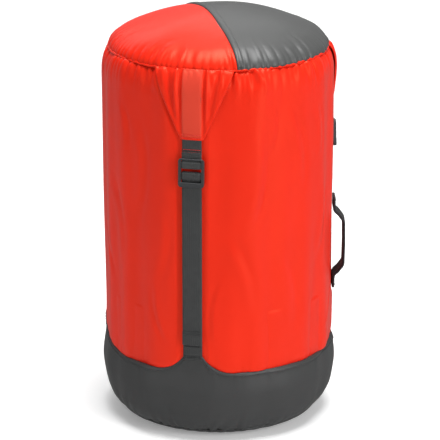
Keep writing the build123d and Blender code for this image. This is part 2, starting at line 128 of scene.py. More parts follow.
@dataclass(frozen=True)
class Finish:
    """A material recipe.

    Attributes:
        name: material's name.
        shade: base colour.
        roughness: middle roughness of the surface.
        patches: spots per metre of the slow variation in colour.
        fading: share of the colour that the variation takes away or adds.
        unevenness: how far the roughness strays from its middle.
    """

    name: str
    shade: Shade
    roughness: float = 0.5
    patches: float = 14
    fading: float = 0.07
    unevenness: float = 0.06

    def start(self) -> tuple[Material, Tree, Node, Socket]:
        """Make a material whose colour and roughness vary over the surface.

        Returns:
            The material, its node tree, its shader node and the piece's own coordinates.
        """
        material = bpy.data.materials.new(self.name)
        material.use_nodes = True
        tree = material.node_tree
        shader = tree.nodes["Principled BSDF"]
        place = tree.nodes.new("ShaderNodeTexCoord").outputs["Object"]
        self.mottle(tree, shader, place)
        return material, tree, shader, place

    def mottle(self, tree: Tree, shader: Node, place: Socket) -> None:
        """Vary the base colour and roughness a little over the surface.

        Args:
            tree: the material's nodes.
            shader: its shader node.
            place: coordinates that the variation is read at.
        """
        noise = tree.nodes.new("ShaderNodeTexNoise")
        noise.inputs["Scale"].default_value = self.patches
        noise.inputs["Detail"].default_value = 5
        tree.links.new(place, noise.inputs["Vector"])
        blend = tree.nodes.new("ShaderNodeMix")
        blend.data_type = "RGBA"
        base = self.shade.value
        blend.inputs["A"].default_value = (*[c * (1 - self.fading) for c in base], 1)
        blend.inputs["B"].default_value = (*[min(1, c * (1 + self.fading)) for c in base], 1)
        tree.links.new(noise.outputs["Fac"], blend.inputs["Factor"])
        tree.links.new(blend.outputs["Result"], shader.inputs["Base Color"])
        spread = tree.nodes.new("ShaderNodeMapRange")
        spread.inputs["To Min"].default_value = self.roughness - self.unevenness
        spread.inputs["To Max"].default_value = self.roughness + self.unevenness
        tree.links.new(noise.outputs["Fac"], spread.inputs["Value"])
        tree.links.new(spread.outputs["Result"], shader.inputs["Roughness"])


@dataclass(frozen=True)
class NylonFinish(Finish):
    """Smooth coated nylon: a fine plain weave with a soft sheen.

    Attributes:
        pitch: metres from one thread to the next.
        gloss: tint of its highlights.
        specular: strength of its highlights.
        sheen: strength of the soft glow at grazing angles.
        sheen_spread: how widely that glow spreads.
        sheen_lift: how much lighter than the fabric the glow is.
        relief: how deep the weave looks.
        thread_rise: metres that a thread stands.
        crinkles: small crinkles per metre.
        crinkle_breakup: how rough their edges are.
        crinkle_relief: how deep they look.
        crinkle_rise: metres that they stand.
    """

    pitch: float = 0.7 * MM
    gloss: Gloss = Gloss.WHITE
    specular: float = 0.36
    sheen: float = 0.35
    sheen_spread: float = 0.35
    sheen_lift: float = 4
    relief: float = 0.10
    thread_rise: float = 0.2 * MM
    crinkles: float = 85
    crinkle_breakup: float = 0.62
    crinkle_relief: float = 0.16
    crinkle_rise: float = 1.2 * MM

    def build(self) -> Material:
        """Make the material; its weave follows the panel's own flat coordinates."""
        material, tree, shader, place = self.start()
        height = weave_height(tree, flat_coordinates(tree), self.pitch)
        crinkle = tree.nodes.new("ShaderNodeTexNoise")
        crinkle.inputs["Scale"].default_value = self.crinkles
        crinkle.inputs["Detail"].default_value = 6
        crinkle.inputs["Roughness"].default_value = self.crinkle_breakup
        tree.links.new(place, crinkle.inputs["Vector"])
        soft = add_bump(tree, crinkle.outputs["Fac"], self.crinkle_relief, self.crinkle_rise)
        fine = add_bump(tree, height, self.relief, self.thread_rise, soft)
        tree.links.new(fine, shader.inputs["Normal"])
        glow = [min(1, self.sheen_lift * c) for c in self.shade.value]
        shader.inputs["Specular IOR Level"].default_value = self.specular
        shader.inputs["Specular Tint"].default_value = (*self.gloss.value, 1)
        shader.inputs["Sheen Weight"].default_value = self.sheen
        shader.inputs["Sheen Roughness"].default_value = self.sheen_spread
        shader.inputs["Sheen Tint"].default_value = (*glow, 1)
        return material


@dataclass(frozen=True)
class WebbingFinish(Finish):
    """Ribbed polyester webbing: cross ribs, lengthwise cords and a centre line.

    Attributes:
        rib: metres from one cross rib to the next.
        cord: metres from one lengthwise cord to the next.
        relief: how deep the ribs look.
        rise: metres that they stand.
        specular: strength of the highlights.
        sheen: strength of the soft glow at grazing angles.
        sheen_spread: how widely that glow spreads.
    """

    patches: float = 120
    fading: float = 0.22
    rib: float = 1.3 * MM
    cord: float = 2.2 * MM
    relief: float = 0.65
    rise: float = 0.5 * MM
    specular: float = 0.35
    sheen: float = 0.06
    sheen_spread: float = 0.4

    def build(self) -> Material:
        """Make the material; its ribs follow the strap's own flat coordinates."""
        material, tree, shader, _ = self.start()
        split = tree.nodes.new("ShaderNodeSeparateXYZ")
        tree.links.new(flat_coordinates(tree), split.inputs["Vector"])
        ribs = wave_of(tree, split.outputs["Y"], self.rib)
        cords = wave_of(tree, split.outputs["X"], self.cord)
        height = mix_math(tree, "MULTIPLY", ribs, cords)
        normal = add_bump(tree, height, self.relief, self.rise)
        tree.links.new(normal, shader.inputs["Normal"])
        shader.inputs["Specular IOR Level"].default_value = self.specular
        shader.inputs["Sheen Weight"].default_value = self.sheen
        shader.inputs["Sheen Roughness"].default_value = self.sheen_spread
        return material


@dataclass(frozen=True)
class MouldedFinish(Finish):
    """Moulded plastic with a fine grain and a slightly scuffed surface.

    Attributes:
        grain: spots per metre of the moulded texture.
        relief: how deep the texture looks.
        rise: metres that it stands.
        specular: strength of the highlights.
    """

    patches: float = 300
    fading: float = 0.15
    grain: float = 2600
    relief: float = 0.12
    rise: float = 0.1 * MM
    specular: float = 0.5

    def build(self) -> Material:
        """Make the material."""
        material, tree, shader, place = self.start()
        grain = tree.nodes.new("ShaderNodeTexNoise")
        grain.inputs["Scale"].default_value = self.grain
        tree.links.new(place, grain.inputs["Vector"])
        normal = add_bump(tree, grain.outputs["Fac"], self.relief, self.rise)
        tree.links.new(normal, shader.inputs["Normal"])
        shader.inputs["Specular IOR Level"].default_value = self.specular
        return material


@dataclass(frozen=True)
class CordFinish(Finish):
    """Braided cord: two sets of strands that cross on the slant.

    Attributes:
        braid: metres along the cord from one crossing to the next.
        relief: how deep the braid looks.
        rise: metres that a strand stands.
    """

    patches: float = 200
    fading: float = 0.3
    braid: float = 2 * MM
    relief: float = 0.8
    rise: float = 0.4 * MM

    def build(self) -> Material:
        """Make the material."""
        material, tree, shader, place = self.start()
        cells = tree.nodes.new("ShaderNodeTexVoronoi")
        cells.inputs["Scale"].default_value = 1 / self.braid
        tree.links.new(place, cells.inputs["Vector"])
        normal = add_bump(tree, cells.outputs["Distance"], self.relief, self.rise)
        tree.links.new(normal, shader.inputs["Normal"])
        return material


@dataclass(frozen=True)
class SteelFinish(Finish):
    """Drawn steel wire."""

    patches: float = 900
    fading: float = 0.1

    def build(self) -> Material:
        """Make the material."""
        material, _, shader, _ = self.start()
        shader.inputs["Metallic"].default_value = 1.0
        return material


def flat_coordinates(tree: Tree) -> Socket:
    """The piece's flat coordinates, in metres."""
    flat = tree.nodes.new("ShaderNodeUVMap")
    flat.uv_map = "flat"
    return flat.outputs["UV"]


def mix_math(
    tree: Tree,
    operation: str,
    first: Socket,
    second: Socket | float,
) -> Socket:
    """Join two values with one math node.

    Args:
        tree: the material's nodes.
        operation: the math node's operation.
        first: first value.
        second: second value, a socket or a number.

    Returns:
        The node's result.
    """
    node = tree.nodes.new("ShaderNodeMath")
    node.operation = operation
    tree.links.new(first, node.inputs[0])
    if isinstance(second, (int, float)):
        node.inputs[1].default_value = second
    else:
        tree.links.new(second, node.inputs[1])
    return node.outputs[0]


def wave_of(tree: Tree, along: Socket, pitch: float) -> Socket:
    """Rounded ridges a pitch apart, from 0 in the grooves to 1 on top.

    Args:
        tree: the material's nodes.
        along: the distance that the ridges repeat over, in metres.
        pitch: metres from ridge to ridge.

    Returns:
        The ridges' height.
    """
    turned = mix_math(tree, "MULTIPLY", along, pi / pitch)
    swing = mix_math(tree, "SINE", turned, 0.0)
    return mix_math(tree, "ABSOLUTE", swing, 0.0)


def weave_height(tree: Tree, flat: Socket, pitch: float) -> Socket:
    """Height of a plain weave over the panel's flat coordinates.

    Args:
        tree: the material's nodes.
        flat: the panel's flat coordinates, in metres.
        pitch: metres from one thread to the next.

    Returns:
        The weave's height.
    """
    split = tree.nodes.new("ShaderNodeSeparateXYZ")
    tree.links.new(flat, split.inputs["Vector"])
    warp = wave_of(tree, split.outputs["X"], pitch)
    weft = wave_of(tree, split.outputs["Y"], pitch)
    return mix_math(tree, "MAXIMUM", warp, weft)


def add_bump(
    tree: Tree,
    height: Socket,
    strength: float,
    distance: float,
    under: Socket | None = None,
) -> Socket:
    """Turn a height into a bumped normal.

    Args:
        tree: the material's nodes.
        height: the height, from 0 to 1.
        strength: how much of it shows.
        distance: metres that a height of 1 stands for.
        under: a normal that this one is laid over.

    Returns:
        The bumped normal.
    """
    bump = tree.nodes.new("ShaderNodeBump")
    bump.inputs["Strength"].default_value = strength
    bump.inputs["Distance"].default_value = distance
    tree.links.new(height, bump.inputs["Height"])
    if under is not None:
        tree.links.new(under, bump.inputs["Normal"])
    return bump.outputs["Normal"]


class Wardrobe:
    """Every finish of the sack, built once."""

    def __init__(self) -> None:
        """Build the materials."""
        self.red = NylonFinish("red_nylon", Shade.RED, 0.37, gloss=Gloss.ORANGE, sheen=0.04).build()
        self.red_strip = NylonFinish(
            "red_nylon_over_webbing", Shade.RED_OVER_WEBBING, 0.46, gloss=Gloss.ORANGE, sheen=0.03
        ).build()
        self.grey = NylonFinish("grey_nylon", Shade.GREY, 0.42, sheen=0.05).build()
        self.base_grey = NylonFinish("base_grey_nylon", Shade.DARK_GREY, 0.44, sheen=0.04).build()
        self.webbing = WebbingFinish("grey_webbing", Shade.WEBBING, 0.62).build()
        # The side handle's near-black is painted shade: its webbing is grey like the straps', darkened here
        # for the shade on its inner face.
        self.handle = WebbingFinish("black_webbing", Shade.BLACK, 0.6).build()
        self.buckle = MouldedFinish("buckle_plastic", Shade.BUCKLE, 0.34).build()
        self.lock = MouldedFinish("cord_lock_plastic", Shade.BLACK, 0.42).build()
        self.cord = CordFinish("braided_cord", Shade.BLACK, 0.7).build()
        self.tape = WebbingFinish("seam_tape", Shade.TAPE, 0.75, rib=0.8 * MM, cord=0.9 * MM).build()
        self.steel = SteelFinish("spring_wire", Shade.STEEL, 0.3).build()
        self.red_thread = CordFinish("red_thread", Shade.RED, 0.55, braid=0.6 * MM).build()
        self.grey_thread = CordFinish("grey_thread", Shade.WEBBING, 0.55, braid=0.6 * MM).build()


# --------------------------------------------------------------------------- the sack's form


@dataclass(frozen=True)
class Outline:
    """The sack's round form as one line from the middle of its base to the top of its lid.

    A place on it is an azimuth and a run, the distance in metres along the line.

    Attributes:
        radius: radius of the straight side.
        side_top: height where the straight side ends.
        crown: height from there to the top of the lid.
        lid_standoff: lid's outer face to the sack's outer face.
        shoulder: radius of the shoulder arc.
        corner: radius of the corner under the side.
        side_curve: radius of the side's slow curve near the base.
        side_curve_top: height where that curve ends.
    """

    radius: float
    side_top: float
    crown: float = 61 * MM
    lid_standoff: float = 2 * MM
    shoulder: float = 44 * MM
    corner: float = 28 * MM
    side_curve: float = 300 * MM
    side_curve_top: float = 92 * MM

    @property
    def corner_x(self) -> float:
        """Radius of the flat underside."""
        reach = self.side_curve - self.corner
        drop = self.side_curve_top - self.corner
        return self.radius - self.side_curve + sqrt(reach**2 - drop**2)

    @property
    def lean(self) -> float:
        """Angle that the side's curve turns through, in radians."""
        side_centre = self.radius - self.side_curve
        return atan2(self.side_curve_top - self.corner, self.corner_x - side_centre)

    @property
    def dome(self) -> tuple[float, float]:
        """Radius of the lid's dome and the height of its centre, for the sack's own surface."""
        rise = self.crown - self.lid_standoff
        size = (self.radius**2 + rise**2 - 2 * self.radius * self.shoulder) / (
            2 * (rise - self.shoulder)
        )
        return size, self.side_top + rise - size

    @property
    def shoulder_turn(self) -> float:
        """Angle of the shoulder arc, up to where the dome takes over."""
        return atan2(self.side_top - self.dome[1], self.radius - self.shoulder)

    @property
    def runs(self) -> list[float]:
        """Run at the end of each stretch: flat, corner, side curve, side, shoulder, dome."""
        lengths = [
            self.corner_x,
            self.corner * (pi / 2 - self.lean),
            self.side_curve * self.lean,
            self.side_top - self.side_curve_top,
            self.shoulder * self.shoulder_turn,
            self.dome[0] * (pi / 2 - self.shoulder_turn),
        ]
        return list(np.cumsum(lengths))

    def run_at_height(self, height: Array) -> Array:
        """Run of a height on the side or on its slow curve."""
        below = np.arcsin(np.clip((self.side_curve_top - height) / self.side_curve, -1, 1))
        on_curve = self.runs[2] - self.side_curve * below
        return np.where(height < self.side_curve_top, on_curve, self.runs[2] + height - self.side_curve_top)

    def run_at_shoulder(self, angle: float) -> float:
        """Run of a point that is some degrees up the shoulder arc."""
        return self.runs[3] + self.shoulder * radians(angle)

    def section(self, run: Array) -> tuple[Array, Array, Array]:
        """Find the outline's points.

        Args:
            run: runs along the line.

        Returns:
            Their radius, height, and the angle of the outward normal above level.
        """
        flat, corner, curve, side, shoulder, _ = self.runs
        arcs = [
            (run < corner, self.corner_x, self.corner, self.corner, -pi / 2, flat),
            (run < curve, self.radius - self.side_curve, self.side_curve_top, self.side_curve,
             -self.lean, corner),
            (run < side, None, None, None, 0.0, curve),
            (run < shoulder, self.radius - self.shoulder, self.side_top, self.shoulder, 0.0, side),
            (run >= shoulder, 0.0, self.dome[1], self.dome[0], self.shoulder_turn, shoulder),
        ]
        x = run.copy()
        z = np.zeros_like(run)
        normal = np.full_like(run, -pi / 2)
        left = run >= flat
        for inside, centre_x, centre_z, size, first, start in arcs:
            here = left & inside
            left = left & ~inside
            if centre_x is None:
                x[here] = self.radius
                z[here] = self.side_curve_top + run[here] - start
                normal[here] = 0.0
                continue
            angle = first + (run[here] - start) / size
            x[here] = centre_x + size * np.cos(angle)
            z[here] = centre_z + size * np.sin(angle)
            normal[here] = angle
        return x, z, normal

    def place(self, azimuth: Array, run: Array, lift: Array | float) -> Array:
        """Find points on or over the sack.

        Args:
            azimuth: degrees from -Y.
            run: runs along the outline.
            lift: metres out from the sack's plain surface.

        Returns:
            Points, one row of three numbers each, shaped like azimuth.
        """
        x, z, normal = self.section(np.asarray(run, float))
        x = x + lift * np.cos(normal)
        z = z + lift * np.sin(normal)
        turn = np.radians(azimuth)
        return np.stack([x * np.sin(turn), -x * np.cos(turn), z], axis=-1)


def around(azimuth: Array, centre: float) -> Array:
    """Degrees from a centre, from -180 to 180."""
    return (azimuth - centre + 180) % 360 - 180


def smooth(value: Array, low: float, high: float) -> Array:
    """0 before low, 1 after high, and a smooth step between."""
    t = np.clip((value - low) / (high - low), 0, 1)
    return t * t * (3 - 2 * t)


@dataclass(frozen=True)
class GatheredSeam:
    """Small bulges and creases that run away from a stitched seam.

    Attributes:
        side: which side of the seam they lie on.
        seed: start of the random draws.
        spacing: shortest and longest width of one bulge, in metres.
        reach: shortest and longest length of one bulge.
        height: how far the bulges stand.
        girth: radius of the sack at the seam.
        creases: number of long creases.
        crease_reach: shortest and longest length of a long crease.
        crease_depth: depth of a long crease.
    """

    side: Gather
    seed: int
    spacing: tuple[float, float] = (4.5 * MM, 10 * MM)
    reach: tuple[float, float] = (5 * MM, 14 * MM)
    height: float = 0.9 * MM
    girth: float = 115 * MM
    creases: int = 26
    crease_reach: tuple[float, float] = (14 * MM, 34 * MM)
    crease_depth: float = 0.8 * MM

    def lift(self, azimuth: Array, away: Array) -> Array:
        """Work out how far the fabric stands proud.

        Args:
            azimuth: degrees from -Y.
            away: metres up from the seam; down is negative.

        Returns:
            Metres out from the plain surface.
        """
        draw = np.random.default_rng(self.seed)
        away = away * self.side.value
        beside = away > -0.2 * MM
        away = np.clip(away, 0, None)
        edges = [0.0]
        while edges[-1] < 2 * pi * self.girth:
            edges.append(edges[-1] + draw.uniform(*self.spacing))
        edges = np.array(edges) * 360 / edges[-1]
        turn = azimuth % 360
        slant = 1 + 0.10 * np.sin(np.radians(turn * 3 + self.seed))
        cell = np.clip(np.searchsorted(edges, turn, side="right") - 1, 0, len(edges) - 2)
        across = (turn - edges[cell]) / (edges[cell + 1] - edges[cell])
        tall = draw.uniform(0.25, 1.0, len(edges)) * self.height
        long = draw.uniform(*self.reach, len(edges))
        crown = np.clip(np.sin(pi * across), 0, 1) ** 0.8
        bulge = tall[cell] * crown * np.exp(-((away / (long[cell] * slant)) ** 1.4))
        lift = bulge - 0.5 * self.height * np.exp(-away / (3 * MM))
        for _ in range(self.creases):
            centre = draw.uniform(0, 360)
            length = draw.uniform(*self.crease_reach)
            lean = draw.uniform(-0.25, 0.25)
            depth = draw.uniform(0.35, 1.0) * self.crease_depth
            width = draw.uniform(1.3, 2.6) * MM
            aside = np.radians(around(turn, centre)) * self.girth - lean * away
            spread = width * (1 + 1.5 * away / length)
            fade = np.clip(1 - away / length, 0, 1) ** 0.8
            lift = lift - depth * np.exp(-((aside / spread) ** 2)) * fade
            lift = lift + 0.55 * depth * np.exp(-(((aside - 2.1 * spread) / spread) ** 2)) * fade
        return np.where(beside, lift, 0.0)


def soft_noise(azimuth: Array, run: Array, seed: int, waves: int = 40) -> Array:
    """Slow seamless undulation of stuffed fabric, from about -1 to 1.

    Args:
        azimuth: degrees from -Y.
        run: metres along the outline.
        seed: start of the random draws.
        waves: number of waves that are added up.

    Returns:
        The undulation.
    """
    draw = np.random.default_rng(seed)
    total = np.zeros_like(run)
    weight = 0.0
    for _ in range(waves):
        turns = draw.integers(2, 26)
        rise = draw.normal(0, 11)
        share = 1 / (1 + 0.10 * turns + 0.03 * abs(rise))
        total = total + share * np.sin(np.radians(azimuth) * turns + run * rise + draw.uniform(0, 2 * pi))
        weight += share**2
    return total / sqrt(weight)


# --------------------------------------------------------------------------- mesh building


def new_mesh(
    name: str, points: Array, faces: list[tuple[int, ...]], flat: Array | None = None
) -> Piece:
    """Make a smooth-shaded mesh object.

    Args:
        name: the object's name.
        points: one row of three numbers for each vertex.
        faces: vertex indices of each face.
        flat: flat coordinates of each vertex, in metres.

    Returns:
        The object, linked to the scene.
    """
    mesh = bpy.data.meshes.new(name)
    mesh.from_pydata([tuple(p) for p in points], [], faces)
    if flat is not None:
        layer = mesh.uv_layers.new(name="flat")
        corners = np.empty(len(mesh.loops), dtype=np.int64)
        mesh.loops.foreach_get("vertex_index", corners)
        layer.data.foreach_set("uv", flat[corners].astype(np.float32).ravel())
    mesh.polygons.foreach_set("use_smooth", [True] * len(mesh.polygons))
    mesh.update()
    piece = bpy.data.objects.new(name, mesh)
    bpy.context.scene.collection.objects.link(piece)
    return piece


def grid_mesh(name: str, points: Array, flat: Array, closed: bool = False, flip: bool = False) -> Piece:
    """Make a mesh from rows and columns of points.

    Args:
        name: the object's name.
        points: rows by columns by three.
        flat: rows by columns by two, in metres.
        closed: join the last column to the first.
        flip: turn the faces over.

    Returns:
        The object.
    """
    rows, columns = points.shape[:2]
    last = columns if closed else columns - 1
    row, column = np.meshgrid(np.arange(rows - 1), np.arange(last), indexing="ij")
    here = row * columns + column
    beside = row * columns + (column + 1) % columns
    corners = np.stack([here, beside, beside + columns, here + columns], axis=-1).reshape(-1, 4)
    if flip:
        corners = corners[:, ::-1]
    return new_mesh(name, points.reshape(-1, 3), corners.tolist(), flat.reshape(-1, 2))


def modify(piece: Piece, kind: str, **settings: object) -> None:
    """Add a modifier and apply it.

    Args:
        piece: the object.
        kind: the modifier's type.
        settings: the modifier's properties.
    """
    modifier = piece.modifiers.new(kind.lower(), kind)
    for name, value in settings.items():
        setattr(modifier, name, value)
    with bpy.context.temp_override(object=piece, active_object=piece, selected_objects=[piece]):
        bpy.ops.object.modifier_apply(modifier=modifier.name)


def thicken(piece: Piece, thickness: float) -> None:
    """Give a sheet its thickness, inwards."""
    modify(piece, "SOLIDIFY", thickness=thickness, offset=-1.0, use_even_offset=False)


def dress(piece: Piece, material: Material) -> None:
    """Give a piece its material."""
    piece.data.materials.clear()
    piece.data.materials.append(material)


def join(name: str, pieces: list[Piece]) -> Piece:
    """Join mesh objects into one.

    Args:
        name: name of the joined object.
        pieces: the objects, at least one.

    Returns:
        The joined object.
    """
    joined = pieces[0]
    if len(pieces) > 1:
        with bpy.context.temp_override(
            object=joined, active_object=joined, selected_objects=pieces,
            selected_editable_objects=pieces,
        ):
            bpy.ops.object.join()
    joined.name = name
    joined.data.name = name
    return joined


def bead_mesh(name: str, path: Array, radius: float, sides: int = 12) -> Piece:
    """Make a round bead along a closed path.

    Args:
        name: the object's name.
        path: points, one row each; the last is beside the first.
        radius: the bead's radius.
        sides: flats round it.

    Returns:
        The object.
    """
    count = len(path)
    ahead = unit(np.roll(path, -1, axis=0) - np.roll(path, 1, axis=0))
    side = np.cross(ahead[0], np.array([0.0, 0.0, 1.0]))
    turns = np.arange(sides) * 2 * pi / sides
    rings = []
    for direction in ahead:
        side = side - direction * np.dot(side, direction)
        side = side / np.linalg.norm(side)
        up = np.cross(side, direction)
        rings.append(np.outer(np.cos(turns), side) + np.outer(np.sin(turns), up))
    points = path[:, None, :] + radius * np.array(rings)
    faces = []
    for i in range(count):
        k = (i + 1) % count
        for j in range(sides):
            beside = (j + 1) % sides
            faces.append((i * sides + j, i * sides + beside, k * sides + beside, k * sides + j))
    flats, steps = np.arange(sides) * radius, np.arange(count) * radius
    flat = np.stack([np.tile(flats, count), np.repeat(steps, sides)], axis=-1)
    return new_mesh(name, points.reshape(-1, 3), faces, flat)


def unit(rows: Array) -> Array:
    """The rows' directions, each of length 1."""
    return rows / np.linalg.norm(rows, axis=1)[:, None]


def distances(line: Array) -> Array:
    """Distance along a line of points to each of them."""
    return np.concatenate([[0], np.cumsum(np.linalg.norm(np.diff(line, axis=0), axis=1))])


def along_line(at: Array, reach: Array, rows: Array) -> Array:
    """Rows of numbers in between the given ones, at some distances along their line."""
    return np.stack([np.interp(at, reach, column) for column in rows.T], axis=-1)


def azimuth_of(plan: Array) -> Array:
    """Azimuths of points seen from above."""
    return np.degrees(np.arctan2(plan[..., 0], -plan[..., 1]))


def outward(azimuth: float) -> Array:
    """Level direction out from the axis."""
    turn = radians(azimuth)
    return np.array([sin(turn), -cos(turn), 0.0])


def sideways(azimuth: float) -> Array:
    """Level direction round the sack, towards a larger azimuth."""
    turn = radians(azimuth)
    return np.array([cos(turn), sin(turn), 0.0])


def tubes_mesh(name: str, paths: list[Array], radius: float, sides: int = 6) -> Piece:
    """Make many short round tubes as one mesh.

    Args:
        name: the object's name.
        paths: one row of points for each tube.
        radius: the tubes' radius.
        sides: flats round a tube.

    Returns:
        The object.
    """
    turns = np.arange(sides) * 2 * pi / sides
    rings = []
    faces = []
    start = 0
    for path in paths:
        ahead = unit(np.gradient(path, axis=0))
        guide = np.array([0.0, 0.0, 1.0]) if abs(ahead[0][2]) < 0.8 else np.array([1.0, 0.3, 0.0])
        side = unit(np.cross(ahead, guide))
        up = np.cross(side, ahead)
        ring = (
            path[:, None, :]
            + radius * np.cos(turns)[None, :, None] * side[:, None, :]
            + radius * np.sin(turns)[None, :, None] * up[:, None, :]
        )
        rings.append(ring.reshape(-1, 3))
        for i in range(len(path) - 1):
            for j in range(sides):
                k = (j + 1) % sides
                faces.append(
                    (start + i * sides + k, start + i * sides + j,
                     start + (i + 1) * sides + j, start + (i + 1) * sides + k)
                )
        last = start + (len(path) - 1) * sides
        faces.append(tuple(start + j for j in range(sides)))
        faces.append(tuple(last + j for j in reversed(range(sides))))
        start += len(path) * sides
    points = np.concatenate(rings)
    return new_mesh(name, points, faces, points[:, :2])


def stitches(
    name: str, path: Array, outs: Array, pitch: float = 2.6 * MM,
    thread: float = 0.26 * MM,
) -> Piece:
    """Sew a row of stitches along a path that lies on a surface.

    Args:
        name: the object's name.
        path: points on the surface, one row each.
        outs: directions away from the surface at those points.
        pitch: metres from one stitch to the next.
        thread: radius of the thread.

    Returns:
        The stitches as one object.
    """
    reach = distances(path)
    count = max(2, int(reach[-1] / pitch))
    bends = np.array([0.10, 0.25, 0.50, 0.75, 0.90])
    rises = np.array([-0.9, 0.35, 0.75, 0.35, -0.9]) * thread
    rows = []
    for i in range(count):
        at = (i + bends) * reach[-1] / count
        rows.append(along_line(at, reach, path) + along_line(at, reach, outs) * rises[:, None])
    return tubes_mesh(name, rows, thread)


def rounded_path(corners: list[tuple[float, float]], radius: float, step: float) -> Array:
    """Turn corner points into a line of even steps with round corners.

    Args:
        corners: standoff and height of each corner, in metres.
        radius: radius of the round corners.
        step: metres from one point to the next.

    Returns:
        Standoff and height of each point of the line.
    """
    points = [np.array(corners[0], float)]
    for before, corner, after in zip(corners, corners[1:], corners[2:]):
        before, corner, after = (np.array(p, float) for p in (before, corner, after))
        way_in = (corner - before) / np.linalg.norm(corner - before)
        way_out = (after - corner) / np.linalg.norm(after - corner)
        turn = np.arccos(np.clip(np.dot(way_in, way_out), -1, 1))
        room = 0.49 * min(np.linalg.norm(corner - before), np.linalg.norm(after - corner))
        cut = min(radius * np.tan(turn / 2), room)
        first = corner - way_in * cut
        last = corner + way_out * cut
        for t in np.linspace(0, 1, 9):
            points.append((1 - t) ** 2 * first + 2 * t * (1 - t) * corner + t**2 * last)
    points.append(np.array(corners[-1], float))
    line = np.array(points)
    reach = distances(line)
    return along_line(np.linspace(0, reach[-1], max(2, int(reach[-1] / step))), reach, line)


@dataclass(frozen=True)
class Weave:
    """How a strap is woven, as real relief.

    Attributes:
        width: across the strap.
        thickness: through the strap.
        rib: metres from one cross rib to the next.
        rib_height: how far a rib stands.
        columns: lengthwise cords across the strap.
    """

    width: float = 20 * MM
    thickness: float = 1.6 * MM
    rib: float = 1.5 * MM
    rib_height: float = 0.11 * MM
    columns: int = 9

    def ribbon(self, name: str, path: Array, azimuth: float, radius: float) -> Piece:
        """Weave a strap along a path in the upright plane at an azimuth.

        Args:
            name: the object's name.
            path: standoff from the sack and height of each point, in metres.
            azimuth: degrees from -Y.
            radius: radius of the sack that standoffs start from.

        Returns:
            The strap.
        """
        out, side = outward(azimuth), sideways(azimuth)
        ahead = unit(np.gradient(path, axis=0))
        normal = np.stack([ahead[:, 1], -ahead[:, 0]], axis=-1)
        reach = distances(path)
        half = self.width / 2
        count = 4 * self.columns + 1
        across = np.linspace(-half, half, count)
        shoulder = np.sqrt(np.clip(1 - (np.abs(across) / half) ** 14, 0, 1))
        cords = 0.55 + 0.45 * np.abs(np.sin(pi * self.columns * (across / self.width + 0.5)))
        centre = 1 - 0.9 * np.exp(-((across / (0.45 * MM)) ** 2))
        ribs = np.abs(np.sin(pi * reach / self.rib)) ** 0.7
        relief = self.rib_height * np.outer(ribs, cords * centre) - self.rib_height
        sheets = []
        for face in (1, -1):
            depth = face * (self.thickness / 2 * shoulder[None, :] + relief * shoulder[None, :])
            columns = across if face == 1 else across[::-1]
            depth = depth if face == 1 else depth[:, ::-1]
            standoff = path[:, 0][:, None] + normal[:, 0][:, None] * depth
            height = path[:, 1][:, None] + normal[:, 1][:, None] * depth
            place = (
                (radius + standoff)[..., None] * out
                + columns[None, :, None] * side
                + height[..., None] * np.array([0.0, 0.0, 1.0])
            )
            sheets.append(place)
        points = np.concatenate(sheets, axis=1)
        flat_x = np.concatenate([across, across[::-1] + self.width])
        flat = np.stack(np.broadcast_arrays(flat_x[None, :], reach[:, None]), axis=-1)
        strap = grid_mesh(name, points, flat, closed=True)
        cap_ends(strap)
        return strap


def cap_ends(piece: Piece) -> None:
    """Close a tube-like mesh's open ends.

    Args:
        piece: the object, whose faces are then turned outwards.
    """
    shape = bmesh.new()
    shape.from_mesh(piece.data)
    edges = [edge for edge in shape.edges if edge.is_boundary]
    bmesh.ops.holes_fill(shape, edges=edges, sides=0)
    bmesh.ops.recalc_face_normals(shape, faces=shape.faces)
    shape.to_mesh(piece.data)
    shape.free()


def softened(name: str, node: str, voxel: float, passes: int) -> Piece:
    """Copy a moulded part of the frame and round its edges.

    Args:
        name: name of the copy.
        node: the part in the frame.
        voxel: size of the new mesh's faces.
        passes: how often the surface is smoothed.

    Returns:
        The rounded copy, which stands for the node.
    """
    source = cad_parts[node]
    copy = bpy.data.objects.new(name, source.data.copy())
    bpy.context.scene.collection.objects.link(copy)
    copy.matrix_world = source.matrix_world
    bpy.context.view_layer.update()
    copy.data.transform(copy.matrix_world)
    copy.matrix_world = Matrix.Identity(4)
    modify(copy, "REMESH", mode="VOXEL", voxel_size=voxel)
    modify(copy, "SMOOTH", factor=0.5, iterations=passes)
    copy.data.polygons.foreach_set("use_smooth", [True] * len(copy.data.polygons))
    copy.data.update()
    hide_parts(node)
    return copy


# --------------------------------------------------------------------------- the sack's places


@dataclass(frozen=True)
class Crease:
    """A long soft crease in the side of the sack.

    Attributes:
        start: azimuth in degrees and height in metres of one end.
        end: the other end.
        depth: how deep it goes.
        width: half of its width.
    """

    start: tuple[float, float]
    end: tuple[float, float]
    depth: float
    width: float

    def lift(self, azimuth: Array, height: Array, radius: float) -> Array:
        """Shape the crease, which fades towards both of its ends.

        Args:
            azimuth: degrees from -Y.
            height: heights of the points.
            radius: radius of the sack's side.

        Returns:
            Metres that the crease moves the surface outwards.
        """
        x = np.radians(around(azimuth, self.start[0])) * radius
        z = height - self.start[1]
        end_x = radians(float(around(np.array(self.end[0]), self.start[0]))) * radius
        end_z = self.end[1] - self.start[1]
        length = sqrt(end_x**2 + end_z**2)
        along = (x * end_x + z * end_z) / length
        aside = (x * end_z - z * end_x) / length
        fade = smooth(along, -0.1 * length, 0.25 * length) * (1 - smooth(along, 0.55 * length, length))
        aside = aside + 0.08 * length * np.sin(pi * along / length)
        ridge = 0.7 * np.exp(-(((aside - 1.9 * self.width) / (1.3 * self.width)) ** 2))
        return self.depth * fade * (ridge - np.exp(-((aside / self.width) ** 2)))


